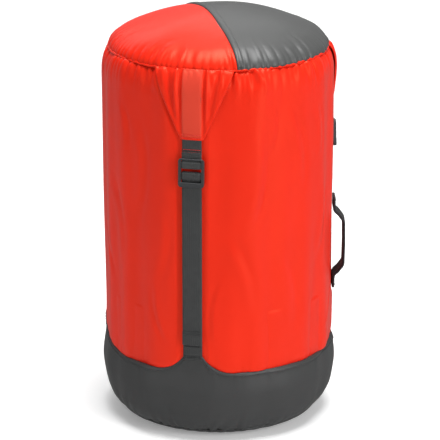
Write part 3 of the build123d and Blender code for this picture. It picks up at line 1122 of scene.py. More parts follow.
@dataclass(frozen=True)
class Layout:
    """Where the sack's seams, straps and handle are.

    Attributes:
        outline: the sack's round form.
        strap_azimuths: name and azimuth of each strap.
        strap_half: half of a strap's width.
        panel_height: height of the base panel between its peaks.
        scallop_rise: how far the peaks rise.
        scallop_halves: half-width of each strap's peak.
        broad_rise: how far the low broad rise stands.
        broad_azimuth: its azimuth.
        broad_half: its half-width.
        base_seam_radius: radius of the seam round the base disc.
        rim_angle: degrees up the shoulder to the lid's rim.
        neck_angle: degrees up the shoulder to the neck's seam.
        handle_azimuth: azimuth of the side handle.
        tab_hem: height of the tabs' hem.
        tab_wide: height where the tabs reach their full width.
        tab_hem_half: half of a tab's width at its hem.
        tab_half: half of its full width.
    """

    outline: Outline
    strap_azimuths: dict[str, float] = field(
        default_factory=lambda: {"front": -12.5, "right": 107.5, "left": -132.5}
    )
    strap_half: float = 10 * MM
    panel_height: float = 78 * MM
    scallop_rise: float = 18.5 * MM
    scallop_halves: dict[str, float] = field(
        default_factory=lambda: {"front": 43 * MM, "right": 46 * MM, "left": 46 * MM}
    )
    broad_rise: float = 26 * MM
    broad_azimuth: float = -100.0
    broad_half: float = 92 * MM
    base_seam_radius: float = 103 * MM
    rim_angle: float = 32.0
    neck_angle: float = 57.0
    handle_azimuth: float = 90.0
    tab_hem: float = 326.5 * MM
    tab_wide: float = 395.3 * MM
    tab_hem_half: float = 12 * MM
    tab_half: float = 43 * MM

    @property
    def rim_run(self) -> float:
        """Run of the lid's rim."""
        return self.outline.run_at_shoulder(self.rim_angle)

    @property
    def rim_radius(self) -> float:
        """Radius of the sack under the lid's rim."""
        return self.outline.section(np.array([self.rim_run]))[0][0]

    @property
    def base_seam_run(self) -> float:
        """Run of the seam round the base disc."""
        reach = self.base_seam_radius - self.outline.corner_x
        return self.outline.corner_x + self.outline.corner * asin(reach / self.outline.corner)

    def aside(self, azimuth: Array, centre: float) -> Array:
        """Metres round the sack from a centre, to either side."""
        return np.abs(np.radians(around(azimuth, centre))) * self.outline.radius

    def scallop(self, azimuth: Array) -> Array:
        """Find the height of the base panel's upper edge.

        Args:
            azimuth: degrees from -Y.

        Returns:
            The edge's height, with a peak under each strap and one low broad rise.
        """
        height = np.full_like(azimuth, self.panel_height)
        for name, centre in self.strap_azimuths.items():
            half = self.scallop_halves[name]
            aside = self.aside(azimuth, centre)
            reach = half - self.strap_half + MM
            side = (reach**2 + self.scallop_rise**2) / (2 * self.scallop_rise)
            along = np.clip(half - aside, 0, reach)
            height = np.maximum(height, self.panel_height + side - np.sqrt(side**2 - along**2))
        aside = self.aside(azimuth, self.broad_azimuth)
        broad = self.panel_height + self.broad_rise * (1 - smooth(aside, 0, self.broad_half))
        return np.maximum(height, broad)

    def seam_distance(self, azimuth: Array, height: Array) -> Array:
        """Measure up from the scalloped seam, square to it.

        Args:
            azimuth: degrees from -Y.
            height: heights of the points.

        Returns:
            Metres from the seam; down is negative.
        """
        radius = self.outline.radius
        seam_azimuth = np.linspace(-180, 180, 2401)
        seam = np.stack([np.radians(seam_azimuth) * radius, self.scallop(seam_azimuth)], axis=-1)
        turned = around(azimuth, 0.0)
        flat_azimuth = np.radians(turned).ravel() * radius
        flat_height = height.ravel()
        result = np.full(height.size, 1.0)
        near = np.abs(flat_height - self.panel_height - self.scallop_rise / 2) < 75 * MM
        index = np.nonzero(near)[0]
        window = 46 * MM
        order = index[np.argsort(flat_azimuth[index])]
        for chunk in np.array_split(order, max(1, len(order) // 1500)):
            if len(chunk) == 0:
                continue
            low, high = flat_azimuth[chunk].min() - window, flat_azimuth[chunk].max() + window
            local = seam[(seam[:, 0] > low) & (seam[:, 0] < high)]
            dx = flat_azimuth[chunk][:, None] - local[None, :, 0]
            dz = flat_height[chunk][:, None] - local[None, :, 1]
            result[chunk] = np.sqrt((dx**2 + dz**2).min(axis=1))
        result = np.minimum(result, np.abs(flat_height - self.scallop(turned).ravel()))
        above = flat_height >= self.scallop(turned).ravel()
        return np.where(above, result, -result).reshape(azimuth.shape)

    def tab_half_width(self, height: Array) -> Array:
        """Half of a tab's width at a height."""
        t = np.clip((height - self.tab_hem) / (self.tab_wide - self.tab_hem), 0, 1)
        return self.tab_hem_half + (self.tab_half - self.tab_hem_half) * t

    def under_strap(self, azimuth: Array, margin: float) -> Array:
        """1 under a strap, falling to 0 at a margin beside it."""
        cover = np.zeros_like(azimuth)
        for centre in self.strap_azimuths.values():
            aside = self.aside(azimuth, centre)
            cover = np.maximum(cover, 1 - smooth(aside, self.strap_half + MM, self.strap_half + margin))
        return cover

    def under_tab(self, azimuth: Array, height: Array) -> Array:
        """Find what the tabs cover.

        Args:
            azimuth: degrees from -Y.
            height: heights of the points.

        Returns:
            1 under a tab, falling to 0 just outside it.
        """
        cover = np.zeros_like(azimuth)
        above = smooth(height, self.tab_hem - 6 * MM, self.tab_hem)
        for centre in self.strap_azimuths.values():
            aside = self.aside(azimuth, centre)
            beyond = aside - self.tab_half_width(height)
            cover = np.maximum(cover, above * (1 - smooth(beyond, 0, 5 * MM)))
        return cover

    def under_handle(self, azimuth: Array, height: Array) -> Array:
        """1 under the handle's sewn ends and behind its loop."""
        aside = self.aside(azimuth, self.handle_azimuth)
        beside = 1 - smooth(aside, 14 * MM, 24 * MM)
        return beside * smooth(height, 118 * MM, 132 * MM) * (1 - smooth(height, 232 * MM, 246 * MM))


class Detail(Enum):
    """How finely the large panels are divided."""

    FULL = 1.0
    DRAFT = 0.5


DETAIL = Detail.FULL


# --------------------------------------------------------------------------- sub-assemblies


@dataclass
class SackBody:
    """The sack below its neck: base disc, base panel, side panel, piping and seams.

    Attributes:
        layout: where everything is.
        wardrobe: the finishes.
        columns: divisions round the sack.
        side_rows: divisions up the side panel.
        base_rows: divisions up the base panel.
        undulation: height of the fabric's slow waves.
        deepest: how far the fabric may dip, short of the tapes inside.
        base_swell: how far the load pushes the base panel out.
        rim_dip: how far the side dips at the lid's rim.
        scallop_dip: how far it dips at the scalloped seam.
        base_dip: how far the base panel dips at the base seam.
        seam_allowance: how far the side panel runs on inside the scalloped seam.
        tapes: lowest and highest height at which tapes lie close inside.
        rim_gather: puckers below the lid's rim.
        scallop_gather: puckers above the scalloped seam.
        panel_gather: puckers below it, on the base panel.
        base_gather: puckers above the base seam.
        creases: the side panel's long creases.
    """

    layout: Layout
    wardrobe: Wardrobe
    columns: int = 600
    side_rows: int = 250
    base_rows: int = 96
    undulation: float = 1.3 * MM
    deepest: float = 0.9 * MM
    base_swell: float = 5.5 * MM
    rim_dip: float = 1.3 * MM
    scallop_dip: float = 0.9 * MM
    base_dip: float = 0.6 * MM
    seam_allowance: float = 4 * MM
    tapes: tuple[float, float] = (70 * MM, 140 * MM)
    rim_gather: GatheredSeam = GatheredSeam(
        Gather.BELOW, 11, girth=115 * MM, height=2.6 * MM, spacing=(5 * MM, 11 * MM),
        reach=(8 * MM, 20 * MM), creases=48, crease_depth=1.8 * MM,
    )
    scallop_gather: GatheredSeam = GatheredSeam(
        Gather.ABOVE, 23, girth=120 * MM, height=0.55 * MM, spacing=(6 * MM, 15 * MM),
        reach=(4 * MM, 10 * MM), creases=14, crease_depth=0.5 * MM,
    )
    panel_gather: GatheredSeam = GatheredSeam(
        Gather.BELOW, 31, girth=120 * MM, height=0.45 * MM, spacing=(7 * MM, 16 * MM),
        reach=(4 * MM, 9 * MM), creases=12, crease_depth=0.4 * MM,
    )
    base_gather: GatheredSeam = GatheredSeam(
        Gather.ABOVE, 47, girth=103 * MM, height=1.7 * MM, spacing=(5 * MM, 11 * MM),
        reach=(6 * MM, 14 * MM), creases=34, crease_depth=1.4 * MM, crease_reach=(16 * MM, 48 * MM),
    )
    creases: tuple[Crease, ...] = (
        Crease((86, 0.150), (66, 0.096), 1.5 * MM, 3.2 * MM),
        Crease((24, 0.330), (14, 0.214), 1.3 * MM, 5.2 * MM),
        Crease((40, 0.352), (46, 0.252), 1.1 * MM, 4.6 * MM),
        Crease((-40, 0.336), (-46, 0.214), 1.2 * MM, 5.4 * MM),
        Crease((-24, 0.246), (-32, 0.160), 0.9 * MM, 4.8 * MM),
        Crease((8, 0.222), (18, 0.128), 1.0 * MM, 5.0 * MM),
        Crease((34, 0.206), (42, 0.112), 1.0 * MM, 5.6 * MM),
        Crease((68, 0.268), (58, 0.174), 1.0 * MM, 4.8 * MM),
        Crease((-62, 0.272), (-54, 0.168), 0.9 * MM, 5.0 * MM),
        Crease((97, 0.212), (112, 0.262), 1.0 * MM, 3.4 * MM),
        Crease((-4, 0.110), (2, 0.190), 0.7 * MM, 3.0 * MM),
        Crease((-28, 0.108), (-34, 0.176), 0.7 * MM, 3.2 * MM),
        Crease((30, 0.356), (26, 0.300), 0.6 * MM, 3.6 * MM),
        Crease((-52, 0.352), (-50, 0.296), 0.7 * MM, 3.6 * MM),
        Crease((58, 0.350), (60, 0.286), 0.8 * MM, 3.4 * MM),
        Crease((-78, 0.210), (-62, 0.150), 0.6 * MM, 3.8 * MM),
        Crease((128, 0.120), (140, 0.190), 0.9 * MM, 3.4 * MM),
        Crease((170, 0.340), (166, 0.262), 0.9 * MM, 3.6 * MM),
        Crease((-160, 0.110), (-170, 0.180), 0.8 * MM, 3.4 * MM),
        Crease((-112, 0.346), (-108, 0.270), 0.8 * MM, 3.6 * MM),
    )

    def azimuths(self) -> Array:
        """Azimuths of the panels' columns."""
        count = int(self.columns * DETAIL.value)
        return np.linspace(-180, 180, count, endpoint=False)

    def strap_press(self, azimuth: Array, lift: Array) -> Array:
        """Flatten the fabric under the straps and let it swell beside them."""
        cover = self.layout.under_strap(azimuth, 8 * MM)
        swell = self.layout.under_strap(azimuth, 26 * MM) * (1 - cover)
        return lift * (1 - cover) - 0.45 * MM * cover + 1.3 * MM * swell

    def side_lift(self, azimuth: Array, run: Array, height: Array) -> Array:
        """Shape the side panel's fabric.

        Args:
            azimuth: degrees from -Y.
            run: runs along the outline.
            height: heights of the same points.

        Returns:
            Metres that the fabric stands out from its plain surface.
        """
        layout = self.layout
        above = layout.seam_distance(azimuth, height)
        below_rim = run - layout.rim_run
        lift = self.undulation * soft_noise(azimuth, run, 7)
        for crease in self.creases:
            lift = lift + crease.lift(azimuth, height, layout.outline.radius)
        lift = lift + self.scallop_gather.lift(azimuth, above)
        lift = self.strap_press(azimuth, lift)
        lift = lift + self.rim_gather.lift(azimuth, below_rim)
        lift = lift - self.rim_dip * np.exp(-np.abs(below_rim) / (3.5 * MM))
        lift = lift - self.scallop_dip * np.exp(-np.abs(above) / (1.6 * MM))
        tab = layout.under_tab(azimuth, height)
        lift = lift - tab * np.clip(lift - 0.2 * MM, 0, None)
        handle = layout.under_handle(azimuth, height)
        lift = lift - handle * np.clip(lift + 0.1 * MM, 0, None)
        hidden = smooth(run, layout.rim_run, layout.rim_run + 3 * MM)
        lift = lift * (1 - hidden) - 0.1 * MM * hidden
        return np.where(height < self.tapes[1], np.maximum(lift, -self.deepest), lift)

    def side_panel(self) -> Piece:
        """Make the red side panel, from the scalloped seam to the neck's seam."""
        layout = self.layout
        outline = layout.outline
        azimuth = self.azimuths()
        rows = int(self.side_rows * DETAIL.value)
        share = np.linspace(0, 1, rows)[:, None]
        low = outline.run_at_height(layout.scallop(azimuth))[None, :]
        high = outline.run_at_shoulder(layout.neck_angle)
        run = low + (high - low) * share
        run[0] -= self.seam_allowance
        across = np.broadcast_to(azimuth[None, :], run.shape)
        height = outline.section(run)[1]
        lift = self.side_lift(across, run, height)
        lift[0] = -2.2 * MM
        points = outline.place(across, run, lift)
        flat = np.stack([np.radians(across) * outline.radius, run], axis=-1)
        panel = grid_mesh("side_panel_fabric", points, flat, closed=True)
        dress(panel, self.wardrobe.red)
        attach(panel, "sack")
        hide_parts("side_panel")
        return panel

    def base_lift(self, azimuth: Array, run: Array, height: Array) -> Array:
        """Shape the base panel's fabric.

        Args:
            azimuth: degrees from -Y.
            run: runs along the outline.
            height: heights of the same points.

        Returns:
            Metres that the fabric stands out from its plain surface.
        """
        layout = self.layout
        above_seam = run - layout.base_seam_run
        below_scallop = layout.seam_distance(azimuth, height)
        lift = self.undulation * soft_noise(azimuth, run, 17) * smooth(above_seam, 0, 30 * MM)
        lift = lift + self.panel_gather.lift(azimuth, below_scallop)
        lift = lift + self.base_gather.lift(azimuth, above_seam)
        lift = lift + 0.5 * MM * np.exp(-np.abs(below_scallop + 3 * MM) / (2 * MM))
        near_strap = smooth(height, 76 * MM, 90 * MM)
        lift = lift + (self.strap_press(azimuth, lift) - lift) * near_strap
        full = smooth(above_seam, 0, 26 * MM) * (1 - smooth(height, 50 * MM, 90 * MM))
        lift = lift + self.base_swell * full
        lift = lift - self.base_dip * np.exp(-above_seam / (3 * MM))
        return np.where(height > self.tapes[0], np.maximum(lift, -self.deepest), lift)

    def base_panel(self) -> Piece:
        """Make the grey base panel, from the base seam to the scalloped seam."""
        layout = self.layout
        outline = layout.outline
        azimuth = self.azimuths()
        rows = int(self.base_rows * DETAIL.value)
        share = np.linspace(0, 1, rows)[:, None]
        low = layout.base_seam_run
        high = outline.run_at_height(layout.scallop(azimuth))[None, :]
        run = low + (high - low) * share
        across = np.broadcast_to(azimuth[None, :], run.shape)
        height = outline.section(run)[1]
        lift = self.base_lift(across, run, height)
        lift[-1] = -1.6 * MM
        points = outline.place(across, run, lift)
        points[..., 2] = np.maximum(points[..., 2], 0.2 * MM)
        flat = np.stack([np.radians(across) * outline.radius, run], axis=-1)
        panel = grid_mesh("base_panel_fabric", points, flat, closed=True)
        dress(panel, self.wardrobe.base_grey)
        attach(panel, "sack")
        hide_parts("base_panel")
        return panel

    def base_disc(self) -> Piece:
        """Make the grey disc under the sack, with creases that run in from its seam."""
        layout = self.layout
        outline = layout.outline
        azimuth = self.azimuths()[::2]
        share = np.linspace(0.004, 1, int(80 * DETAIL.value))[:, None]
        run = layout.base_seam_run * share + 0 * azimuth[None, :]
        across = np.broadcast_to(azimuth[None, :], run.shape)
        away = layout.base_seam_run - run
        puckers = np.sin(np.radians(across) * 46 + 2 * np.sin(np.radians(across) * 5))
        corner = smooth(run, outline.corner_x - 10 * MM, outline.corner_x + 8 * MM)
        lift = 0.5 * MM * puckers * np.exp(-away / (9 * MM)) * corner
        lift = lift - 1.2 * MM * (1 - smooth(run, 0.03, outline.corner_x)) * (1 - share**2)
        points = outline.place(across, run, lift)
        points[..., 2] = np.maximum(points[..., 2], 0.0)
        turn = np.radians(across)
        flat = np.stack([run * np.sin(turn), run * np.cos(turn)], axis=-1)
        disc = grid_mesh("base_disc_fabric", points, flat, closed=True)
        cap_ends(disc)
        dress(disc, self.wardrobe.base_grey)
        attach(disc, "sack")
        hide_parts("base_disc")
        return disc

    def base_piping(self) -> Piece:
        """Make the bead of piping round the base seam, slightly uneven as sewn."""
        low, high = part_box("base_piping")
        middle = (low[2] + high[2]) / 2
        bead = (high[2] - low[2]) / 2
        turn = np.linspace(0, 2 * pi, int(360 * DETAIL.value), endpoint=False)
        radius = high[0] - bead
        wander = 0.25 * MM * np.sin(turn * 31) + 0.2 * MM * np.sin(turn * 17 + 1)
        path = np.stack(
            [(radius + wander) * np.sin(turn), -(radius + wander) * np.cos(turn), middle + wander],
            axis=-1,
        )
        piping = bead_mesh("base_piping_bead", path, bead)
        dress(piping, self.wardrobe.base_grey)
        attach(piping, "sack")
        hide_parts("base_piping")
        return piping

    def scallop_stitches(self) -> Piece:
        """Sew the row of stitches a few millimetres below the grey panel's edge."""
        layout = self.layout
        outline = layout.outline
        azimuth = np.linspace(-180, 180, 2400)
        height = layout.scallop(azimuth)
        seam = np.stack([np.radians(azimuth) * outline.radius, height], axis=-1)
        ahead = unit(np.gradient(seam, axis=0))
        inset = 3.2 * MM
        row = seam + inset * np.stack([ahead[:, 1], -ahead[:, 0]], axis=-1)
        azimuth = np.degrees(row[:, 0] / outline.radius)
        keep = layout.scallop(azimuth) - row[:, 1] > 2.2 * MM
        azimuth, height = azimuth[keep], row[:, 1][keep]
        run = outline.run_at_height(height)
        actual = outline.section(run)[1]
        lift = self.base_lift(azimuth, run, actual) + 0.15 * MM
        path = outline.place(azimuth, run, lift)
        outs = unit(path * np.array([1, 1, 0]))
        row_piece = stitches("scallop_stitches", path, outs, 2.8 * MM)
        dress(row_piece, self.wardrobe.grey_thread)
        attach(row_piece, "sack")
        return row_piece

    def seam_tapes(self) -> list[Piece]:
        """Dress the bound tapes inside the sack, whose frame parts have the right shape."""
        tapes = [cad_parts["base_seam_tape"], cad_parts["side_seam_tape"]]
        for tape in tapes:
            repaint(tape, self.wardrobe.tape)
        return tapes

    def build(self) -> list[Piece]:
        """Make every piece of the sack's body."""
        return [
            self.side_panel(),
            self.base_panel(),
            self.base_disc(),
            self.base_piping(),
            self.scallop_stitches(),
            *self.seam_tapes(),
        ]


def repaint(node: Piece, material: Material) -> None:
    """Give a frame part whose shape is right its detailed finish."""
    node.data.materials.clear()
    node.data.materials.append(material)


@dataclass
class Lid:
    """The two-colour lid: panels, the strip along their seam, the rim and the tape beneath.

    Attributes:
        layout: where everything is.
        wardrobe: the finishes.
        seam_angle: degrees from the Y axis to the two-colour seam.
        seam_offset: how far the seam passes from the axis.
        rays: divisions round each panel.
        rings: divisions from the seam's middle to the rim.
        gather: puckers above the rim.
        strip_width: width of the folded strip along the seam.
        rim_bead: radius of the bound rim.
    """

    layout: Layout
    wardrobe: Wardrobe
    seam_angle: float = 16.1
    seam_offset: float = -12.6 * MM
    rays: int = 420
    rings: int = 130
    strip_width: float = 6.5 * MM
    rim_bead: float = 1.1 * MM
    gather: GatheredSeam = GatheredSeam(
        Gather.ABOVE, 11, girth=115 * MM, height=2.0 * MM, spacing=(5 * MM, 11 * MM),
        reach=(6 * MM, 15 * MM), creases=40, crease_depth=1.2 * MM, crease_reach=(16 * MM, 40 * MM),
    )

    @property
    def normal(self) -> Array:
        """Level direction from the red side of the seam to the grey side."""
        turn = radians(self.seam_angle)
        return np.array([cos(turn), sin(turn), 0.0])

    def run_at_radius(self, radius: Array) -> Array:
        """Find how far along the outline a point of the shoulder or the dome is.

        Args:
            radius: the point's distance to the axis.

        Returns:
            Its run.
        """
        outline = self.layout.outline
        size = outline.dome[0]
        turn = outline.shoulder_turn
        join = outline.radius - outline.shoulder + outline.shoulder * cos(turn)
        centre = outline.radius - outline.shoulder
        on_shoulder = outline.runs[3] + outline.shoulder * np.arccos(
            np.clip((radius - centre) / outline.shoulder, -1, 1)
        )
        on_dome = outline.runs[4] + size * (np.arccos(np.clip(radius / size, -1, 1)) - turn)
        return np.where(radius > join, on_shoulder, on_dome)

    def lift(self, plan: Array, run: Array) -> Array:
        """Shape the lid's fabric.

        Args:
            plan: points seen from above.
            run: their runs along the outline.

        Returns:
            Metres that the fabric stands out from the sack's plain surface.
        """
        azimuth = azimuth_of(plan)
        from_seam = plan @ self.normal[:2] - self.seam_offset
        above_rim = run - self.layout.rim_run
        lift = self.layout.outline.lid_standoff + 0 * run
        slow = np.sin(plan[..., 0] * 41 + 1.3) * np.sin(plan[..., 1] * 37 + 0.4)
        slow = slow + 0.7 * np.sin(plan[..., 0] * 73 - plan[..., 1] * 58 + 2.0)
        lift = lift + 0.55 * MM * slow * smooth(above_rim, 0, 18 * MM)
        lift = lift + self.gather.lift(azimuth, above_rim)
        lift = lift - 2.0 * MM * np.exp(-np.clip(above_rim, 0, None) / (3.6 * MM))
        return lift - 0.8 * MM * np.exp(-np.abs(from_seam) / (1.1 * MM))

    def panel_points(self, side: float) -> tuple[Array, Array]:
        """Spread a panel's points over its side of the seam.

        Args:
            side: 1 for the grey side and -1 for the red one.

        Returns:
            Points in plan, and their runs along the outline.
        """
        normal = self.normal[:2]
        along = np.array([-normal[1], normal[0]])
        centre = normal * self.seam_offset
        turn = np.linspace(-pi / 2, pi / 2, int(self.rays * DETAIL.value))
        ways = side * np.cos(turn)[:, None] * normal + side * np.sin(turn)[:, None] * along
        rim_radius = self.layout.rim_radius
        reach = -(ways @ centre) + np.sqrt((ways @ centre) ** 2 + rim_radius**2 - centre @ centre)
        share = np.linspace(0.004, 1, int(self.rings * DETAIL.value)) ** 0.8
        plan = centre + share[:, None, None] * reach[None, :, None] * ways[None, :, :]
        run = self.run_at_radius(np.linalg.norm(plan, axis=-1))
        return plan, run

    def panel(self, name: str, side: float, material: Material, slot: str) -> Piece:
        """Make one of the lid's two panels.

        Args:
            name: the piece's name.
            side: 1 for the grey side and -1 for the red one.
            material: its finish.
            slot: not used.

        Returns:
            The panel.
        """
        plan, run = self.panel_points(side)
        lift = self.lift(plan, run)
        azimuth = azimuth_of(plan)
        outline = self.layout.outline
        points = outline.place(azimuth, run, lift)
        panel = grid_mesh(name, points, plan, flip=side < 0)
        thicken(panel, LINED_FABRIC)
        dress(panel, material)
        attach(panel, "lid")
        return panel

    def on_seam(self, aside: float, lift: float, count: int = 220) -> tuple[Array, Array]:
        """Find a line of points beside the two-colour seam.

        Args:
            aside: metres from the seam, towards the grey side.
            lift: metres above the lid's own surface.
            count: number of points.

        Returns:
            The points and the directions away from the surface.
        """
        normal = self.normal[:2]
        along = np.array([-normal[1], normal[0]])
        rim_radius = self.layout.rim_radius
        offset = self.seam_offset + aside
        half = sqrt(rim_radius**2 - offset**2) - MM
        plan = normal * offset + np.linspace(-half, half, count)[:, None] * along
        run = self.run_at_radius(np.linalg.norm(plan, axis=-1))
        azimuth = azimuth_of(plan)
        base = self.lift(plan, run)
        outline = self.layout.outline
        points = outline.place(azimuth, run, base + lift)
        outs = outline.place(azimuth, run, base + lift + MM) - points
        return points, outs / MM

    def seam_strip(self) -> Piece:
        """Make the folded strip of grey fabric along the seam, which is sewn down on its edge."""
        rows = []
        flat = []
        for aside in np.linspace(0.1 * MM, self.strip_width, 14):
            t = aside / self.strip_width
            rise = 0.75 * MM * (1 - np.abs(2 * t - 1) ** 4) + 0.10 * MM
            points, _ = self.on_seam(aside, rise)
            rows.append(points)
            flat.append(np.stack([np.full(len(points), aside), np.linspace(0, 0.22, len(points))], axis=-1))
        strip = grid_mesh("lid_seam_strip", np.array(rows), np.array(flat))
        thicken(strip, FABRIC)
        dress(strip, self.wardrobe.grey)
        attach(strip, "lid")
        return strip

    def seam_stitches(self) -> Piece:
        """Sew the rows of stitches along the folded strip."""
        rows = []
        for aside in (1.3 * MM, 5.4 * MM):
            points, outs = self.on_seam(aside, 0.85 * MM)
            rows.append(stitches(f"lid_stitches_{len(rows)}", points, outs))
        joined = join("lid_seam_stitches", rows)
        dress(joined, self.wardrobe.grey_thread)
        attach(joined, "lid")
        return joined

    def rim(self) -> Piece:
        """Make the bound rim: a slim bead that the gathers pull in and out."""
        outline = self.layout.outline
        azimuth = np.linspace(-180, 180, int(900 * DETAIL.value), endpoint=False)
        run = np.full_like(azimuth, self.layout.rim_run)
        draw = np.random.default_rng(5)
        wander = sum(
            draw.uniform(0.05, 0.16) * MM * np.sin(np.radians(azimuth) * turns + draw.uniform(0, 6))
            for turns in (9, 23, 37, 61, 83)
        )
        path = outline.place(azimuth, run + 1.5 * wander, -0.05 * MM + wander)
        rim = bead_mesh("lid_rim_bead", path, self.rim_bead)
        dress(rim, self.wardrobe.red)
        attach(rim, "lid")
        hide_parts("lid_rim_binding")
        return rim

    def build(self) -> list[Piece]:
        """Make every piece of the lid."""
        red = self.panel("lid_red_fabric", -1, self.wardrobe.red, "red_fabric")
        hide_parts("lid_red_panel")
        grey = self.panel("lid_grey_fabric", 1, self.wardrobe.grey, "grey_fabric")
        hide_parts("lid_grey_panel")
        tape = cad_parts["lid_seam_tape"]
        repaint(tape, self.wardrobe.tape)
        return [red, grey, self.seam_strip(), self.seam_stitches(), self.rim(), tape]


@dataclass
class Strap:
    """One compression strap: tab, tab webbing, buckle, load strap and tail.

    Attributes:
        name: front, right or left.
        azimuth: degrees from -Y.
        layout: where everything is.
        wardrobe: the finishes.
        weave: how the webbing is woven.
        webbing_standoff: sack to the middle of the webbing behind the bars.
        loop_front: sack to the middle of the webbing in front of them.
        tail_standoff: sack to the middle of the tail.
        bend_radius: radius of the webbing's bends.
        bend_height: height where the tab's webbing bends as the buckle tilts.
        upper_bar: height of the buckle's upper bar.
        lower_bar: height of its lower bar.
        buckle_foot: height of its lower edge.
        strap_foot: height of the load strap's sewn foot.
        tail_foot: height of the tail's tip.
        lid_travel: how far the lid lifts.
        step: metres from one row of the webbing's points to the next.
        folds: position at the hem and at the rim, depth and width of each of the tab's folds.
    """

    name: str
    azimuth: float
    layout: Layout
    wardrobe: Wardrobe
    weave: Weave = Weave()
    webbing_standoff: float = 1.4 * MM
    loop_front: float = 5.6 * MM
    tail_standoff: float = 3.1 * MM
    bend_radius: float = 1.2 * MM
    bend_height: float = 309.6 * MM
    upper_bar: float = 300.5 * MM
    lower_bar: float = 289.5 * MM
    buckle_foot: float = 278.05 * MM
    strap_foot: float = 92 * MM
    tail_foot: float = 109.05 * MM
    lid_travel: float = 110 * MM
    step: float = 0.42 * MM
    folds: tuple[tuple[float, float, float, float], ...] = (
        (10.8 * MM, 12.5 * MM, 2.6 * MM, 1.8 * MM),
        (-10.8 * MM, -15 * MM, 2.0 * MM, 2.1 * MM),
        (11 * MM, 27 * MM, 1.2 * MM, 2.4 * MM),
        (-11 * MM, -26 * MM, 1.1 * MM, 2.6 * MM),
    )

    def spot(self, standoff: float, height: float, aside: float = 0.0) -> Array:
        """Find a point from its standoff, height and distance to the strap's middle."""
        reach = self.layout.outline.radius + standoff
        return outward(self.azimuth) * reach + sideways(self.azimuth) * aside + np.array([0, 0, height])

    def fold(
        self, aside: Array, share: Array, low: float, high: float, depth: float, width: float
    ) -> Array:
        """Shape of a fold that fans out from the hem to the rim.

        Args:
            aside: metres from the strap's middle.
            share: 0 at the hem and 1 at the rim.
            low: where the fold is at the hem.
            high: where the fold is at the rim.
            depth: how deep it is.
            width: half of its width.

        Returns:
            Metres that the fold moves the fabric outwards.
        """
        middle = low + (high - low) * share**0.85
        away = (aside - middle) * np.sign(high - low if high != low else 1)
        grow = 0.35 + 0.65 * smooth(share, 0.0, 0.7)
        valley = np.exp(-((away / width) ** 2))
        ridge = np.exp(-(((away - 2.0 * width) / (1.4 * width)) ** 2))
        return depth * grow * (0.9 * ridge - valley)

    def webbing(
        self, name: str, corners: list[tuple[float, float]], weave: Weave | None = None
    ) -> Piece:
        """Weave a stretch of this strap.

        Args:
            name: the object's name.
            corners: standoff and height of each corner of its path.
            weave: its own weave, if it differs from the strap's.

        Returns:
            The stretch.
        """
        path = rounded_path(corners, self.bend_radius, self.step)
        return (weave or self.weave).ribbon(name, path, self.azimuth, self.layout.outline.radius)

    def sew(
        self, name: str, rows: list[tuple[float, float, float, float]], thread: float = 0.26 * MM
    ) -> Piece:
        """Sew rows of stitches across the strap.

        Args:
            name: the object's name.
            rows: height, standoff, half of the length, and pitch of each row.
            thread: radius of the thread.

        Returns:
            The rows as one object.
        """
        outs = np.tile(outward(self.azimuth), (2, 1))
        sewn = []
        for height, standoff, half, pitch in rows:
            ends = [self.spot(standoff, height, aside) for aside in (-half, half)]
            sewn.append(stitches(f"{name}_{len(sewn)}", np.array(ends), outs, pitch, thread))
        return join(name, sewn)

    def tab_lift(self, aside: Array, share: Array, half: Array, run: Array) -> Array:
        """Shape the tab's fabric: its bulge over the webbing, its folds, puckers and hem.

        Args:
            aside: metres from the strap's middle.
            share: 0 at the hem and 1 at the rim.
            half: half of the tab's width there.
            run: runs along the outline.

        Returns:
            Metres that the tab stands out from the sack's plain surface.
        """
        draw = np.random.default_rng(abs(int(self.azimuth)))
        middle = 1 - smooth(np.abs(aside), 9 * MM, 14 * MM)
        lift = 2.1 * MM + 1.1 * MM * middle
        bend = draw.uniform(-2, 2, 4) * MM
        reach = 12 * MM
        for (low, high, depth, width), drift in zip(self.folds, bend):
            lift = lift + self.fold(aside, share, low, high + drift, depth, width)
        lift = lift + 0.35 * MM * np.sin(share * 5.2 + aside * 90 + self.azimuth)
        azimuth = self.azimuth + np.degrees(aside / self.layout.outline.radius)
        seam = GatheredSeam(Gather.BELOW, 11, girth=115 * MM, height=1.6 * MM, creases=30)
        pull = np.exp(-np.clip(self.layout.rim_run - run, 0, None) / (3 * MM))
        lift = lift - 1.3 * MM * pull
        lift = lift + seam.lift(azimuth, run - self.layout.rim_run)
        to_edge = half - np.abs(aside)
        hem = np.exp(-(((to_edge - 2.4 * MM) / (1.9 * MM)) ** 2))
        lift = lift + 0.55 * MM * hem * smooth(reach - share * reach, 0, 4 * MM)
        floor = 1.1 * MM + 1.1 * MM * (1 - smooth(np.abs(aside), 10 * MM, 11.5 * MM))
        lift = np.maximum(lift, floor)
        turned = 1 - smooth(to_edge, 0, 0.9 * MM)
        return lift - (lift - 1.15 * MM) * turned * 0.8

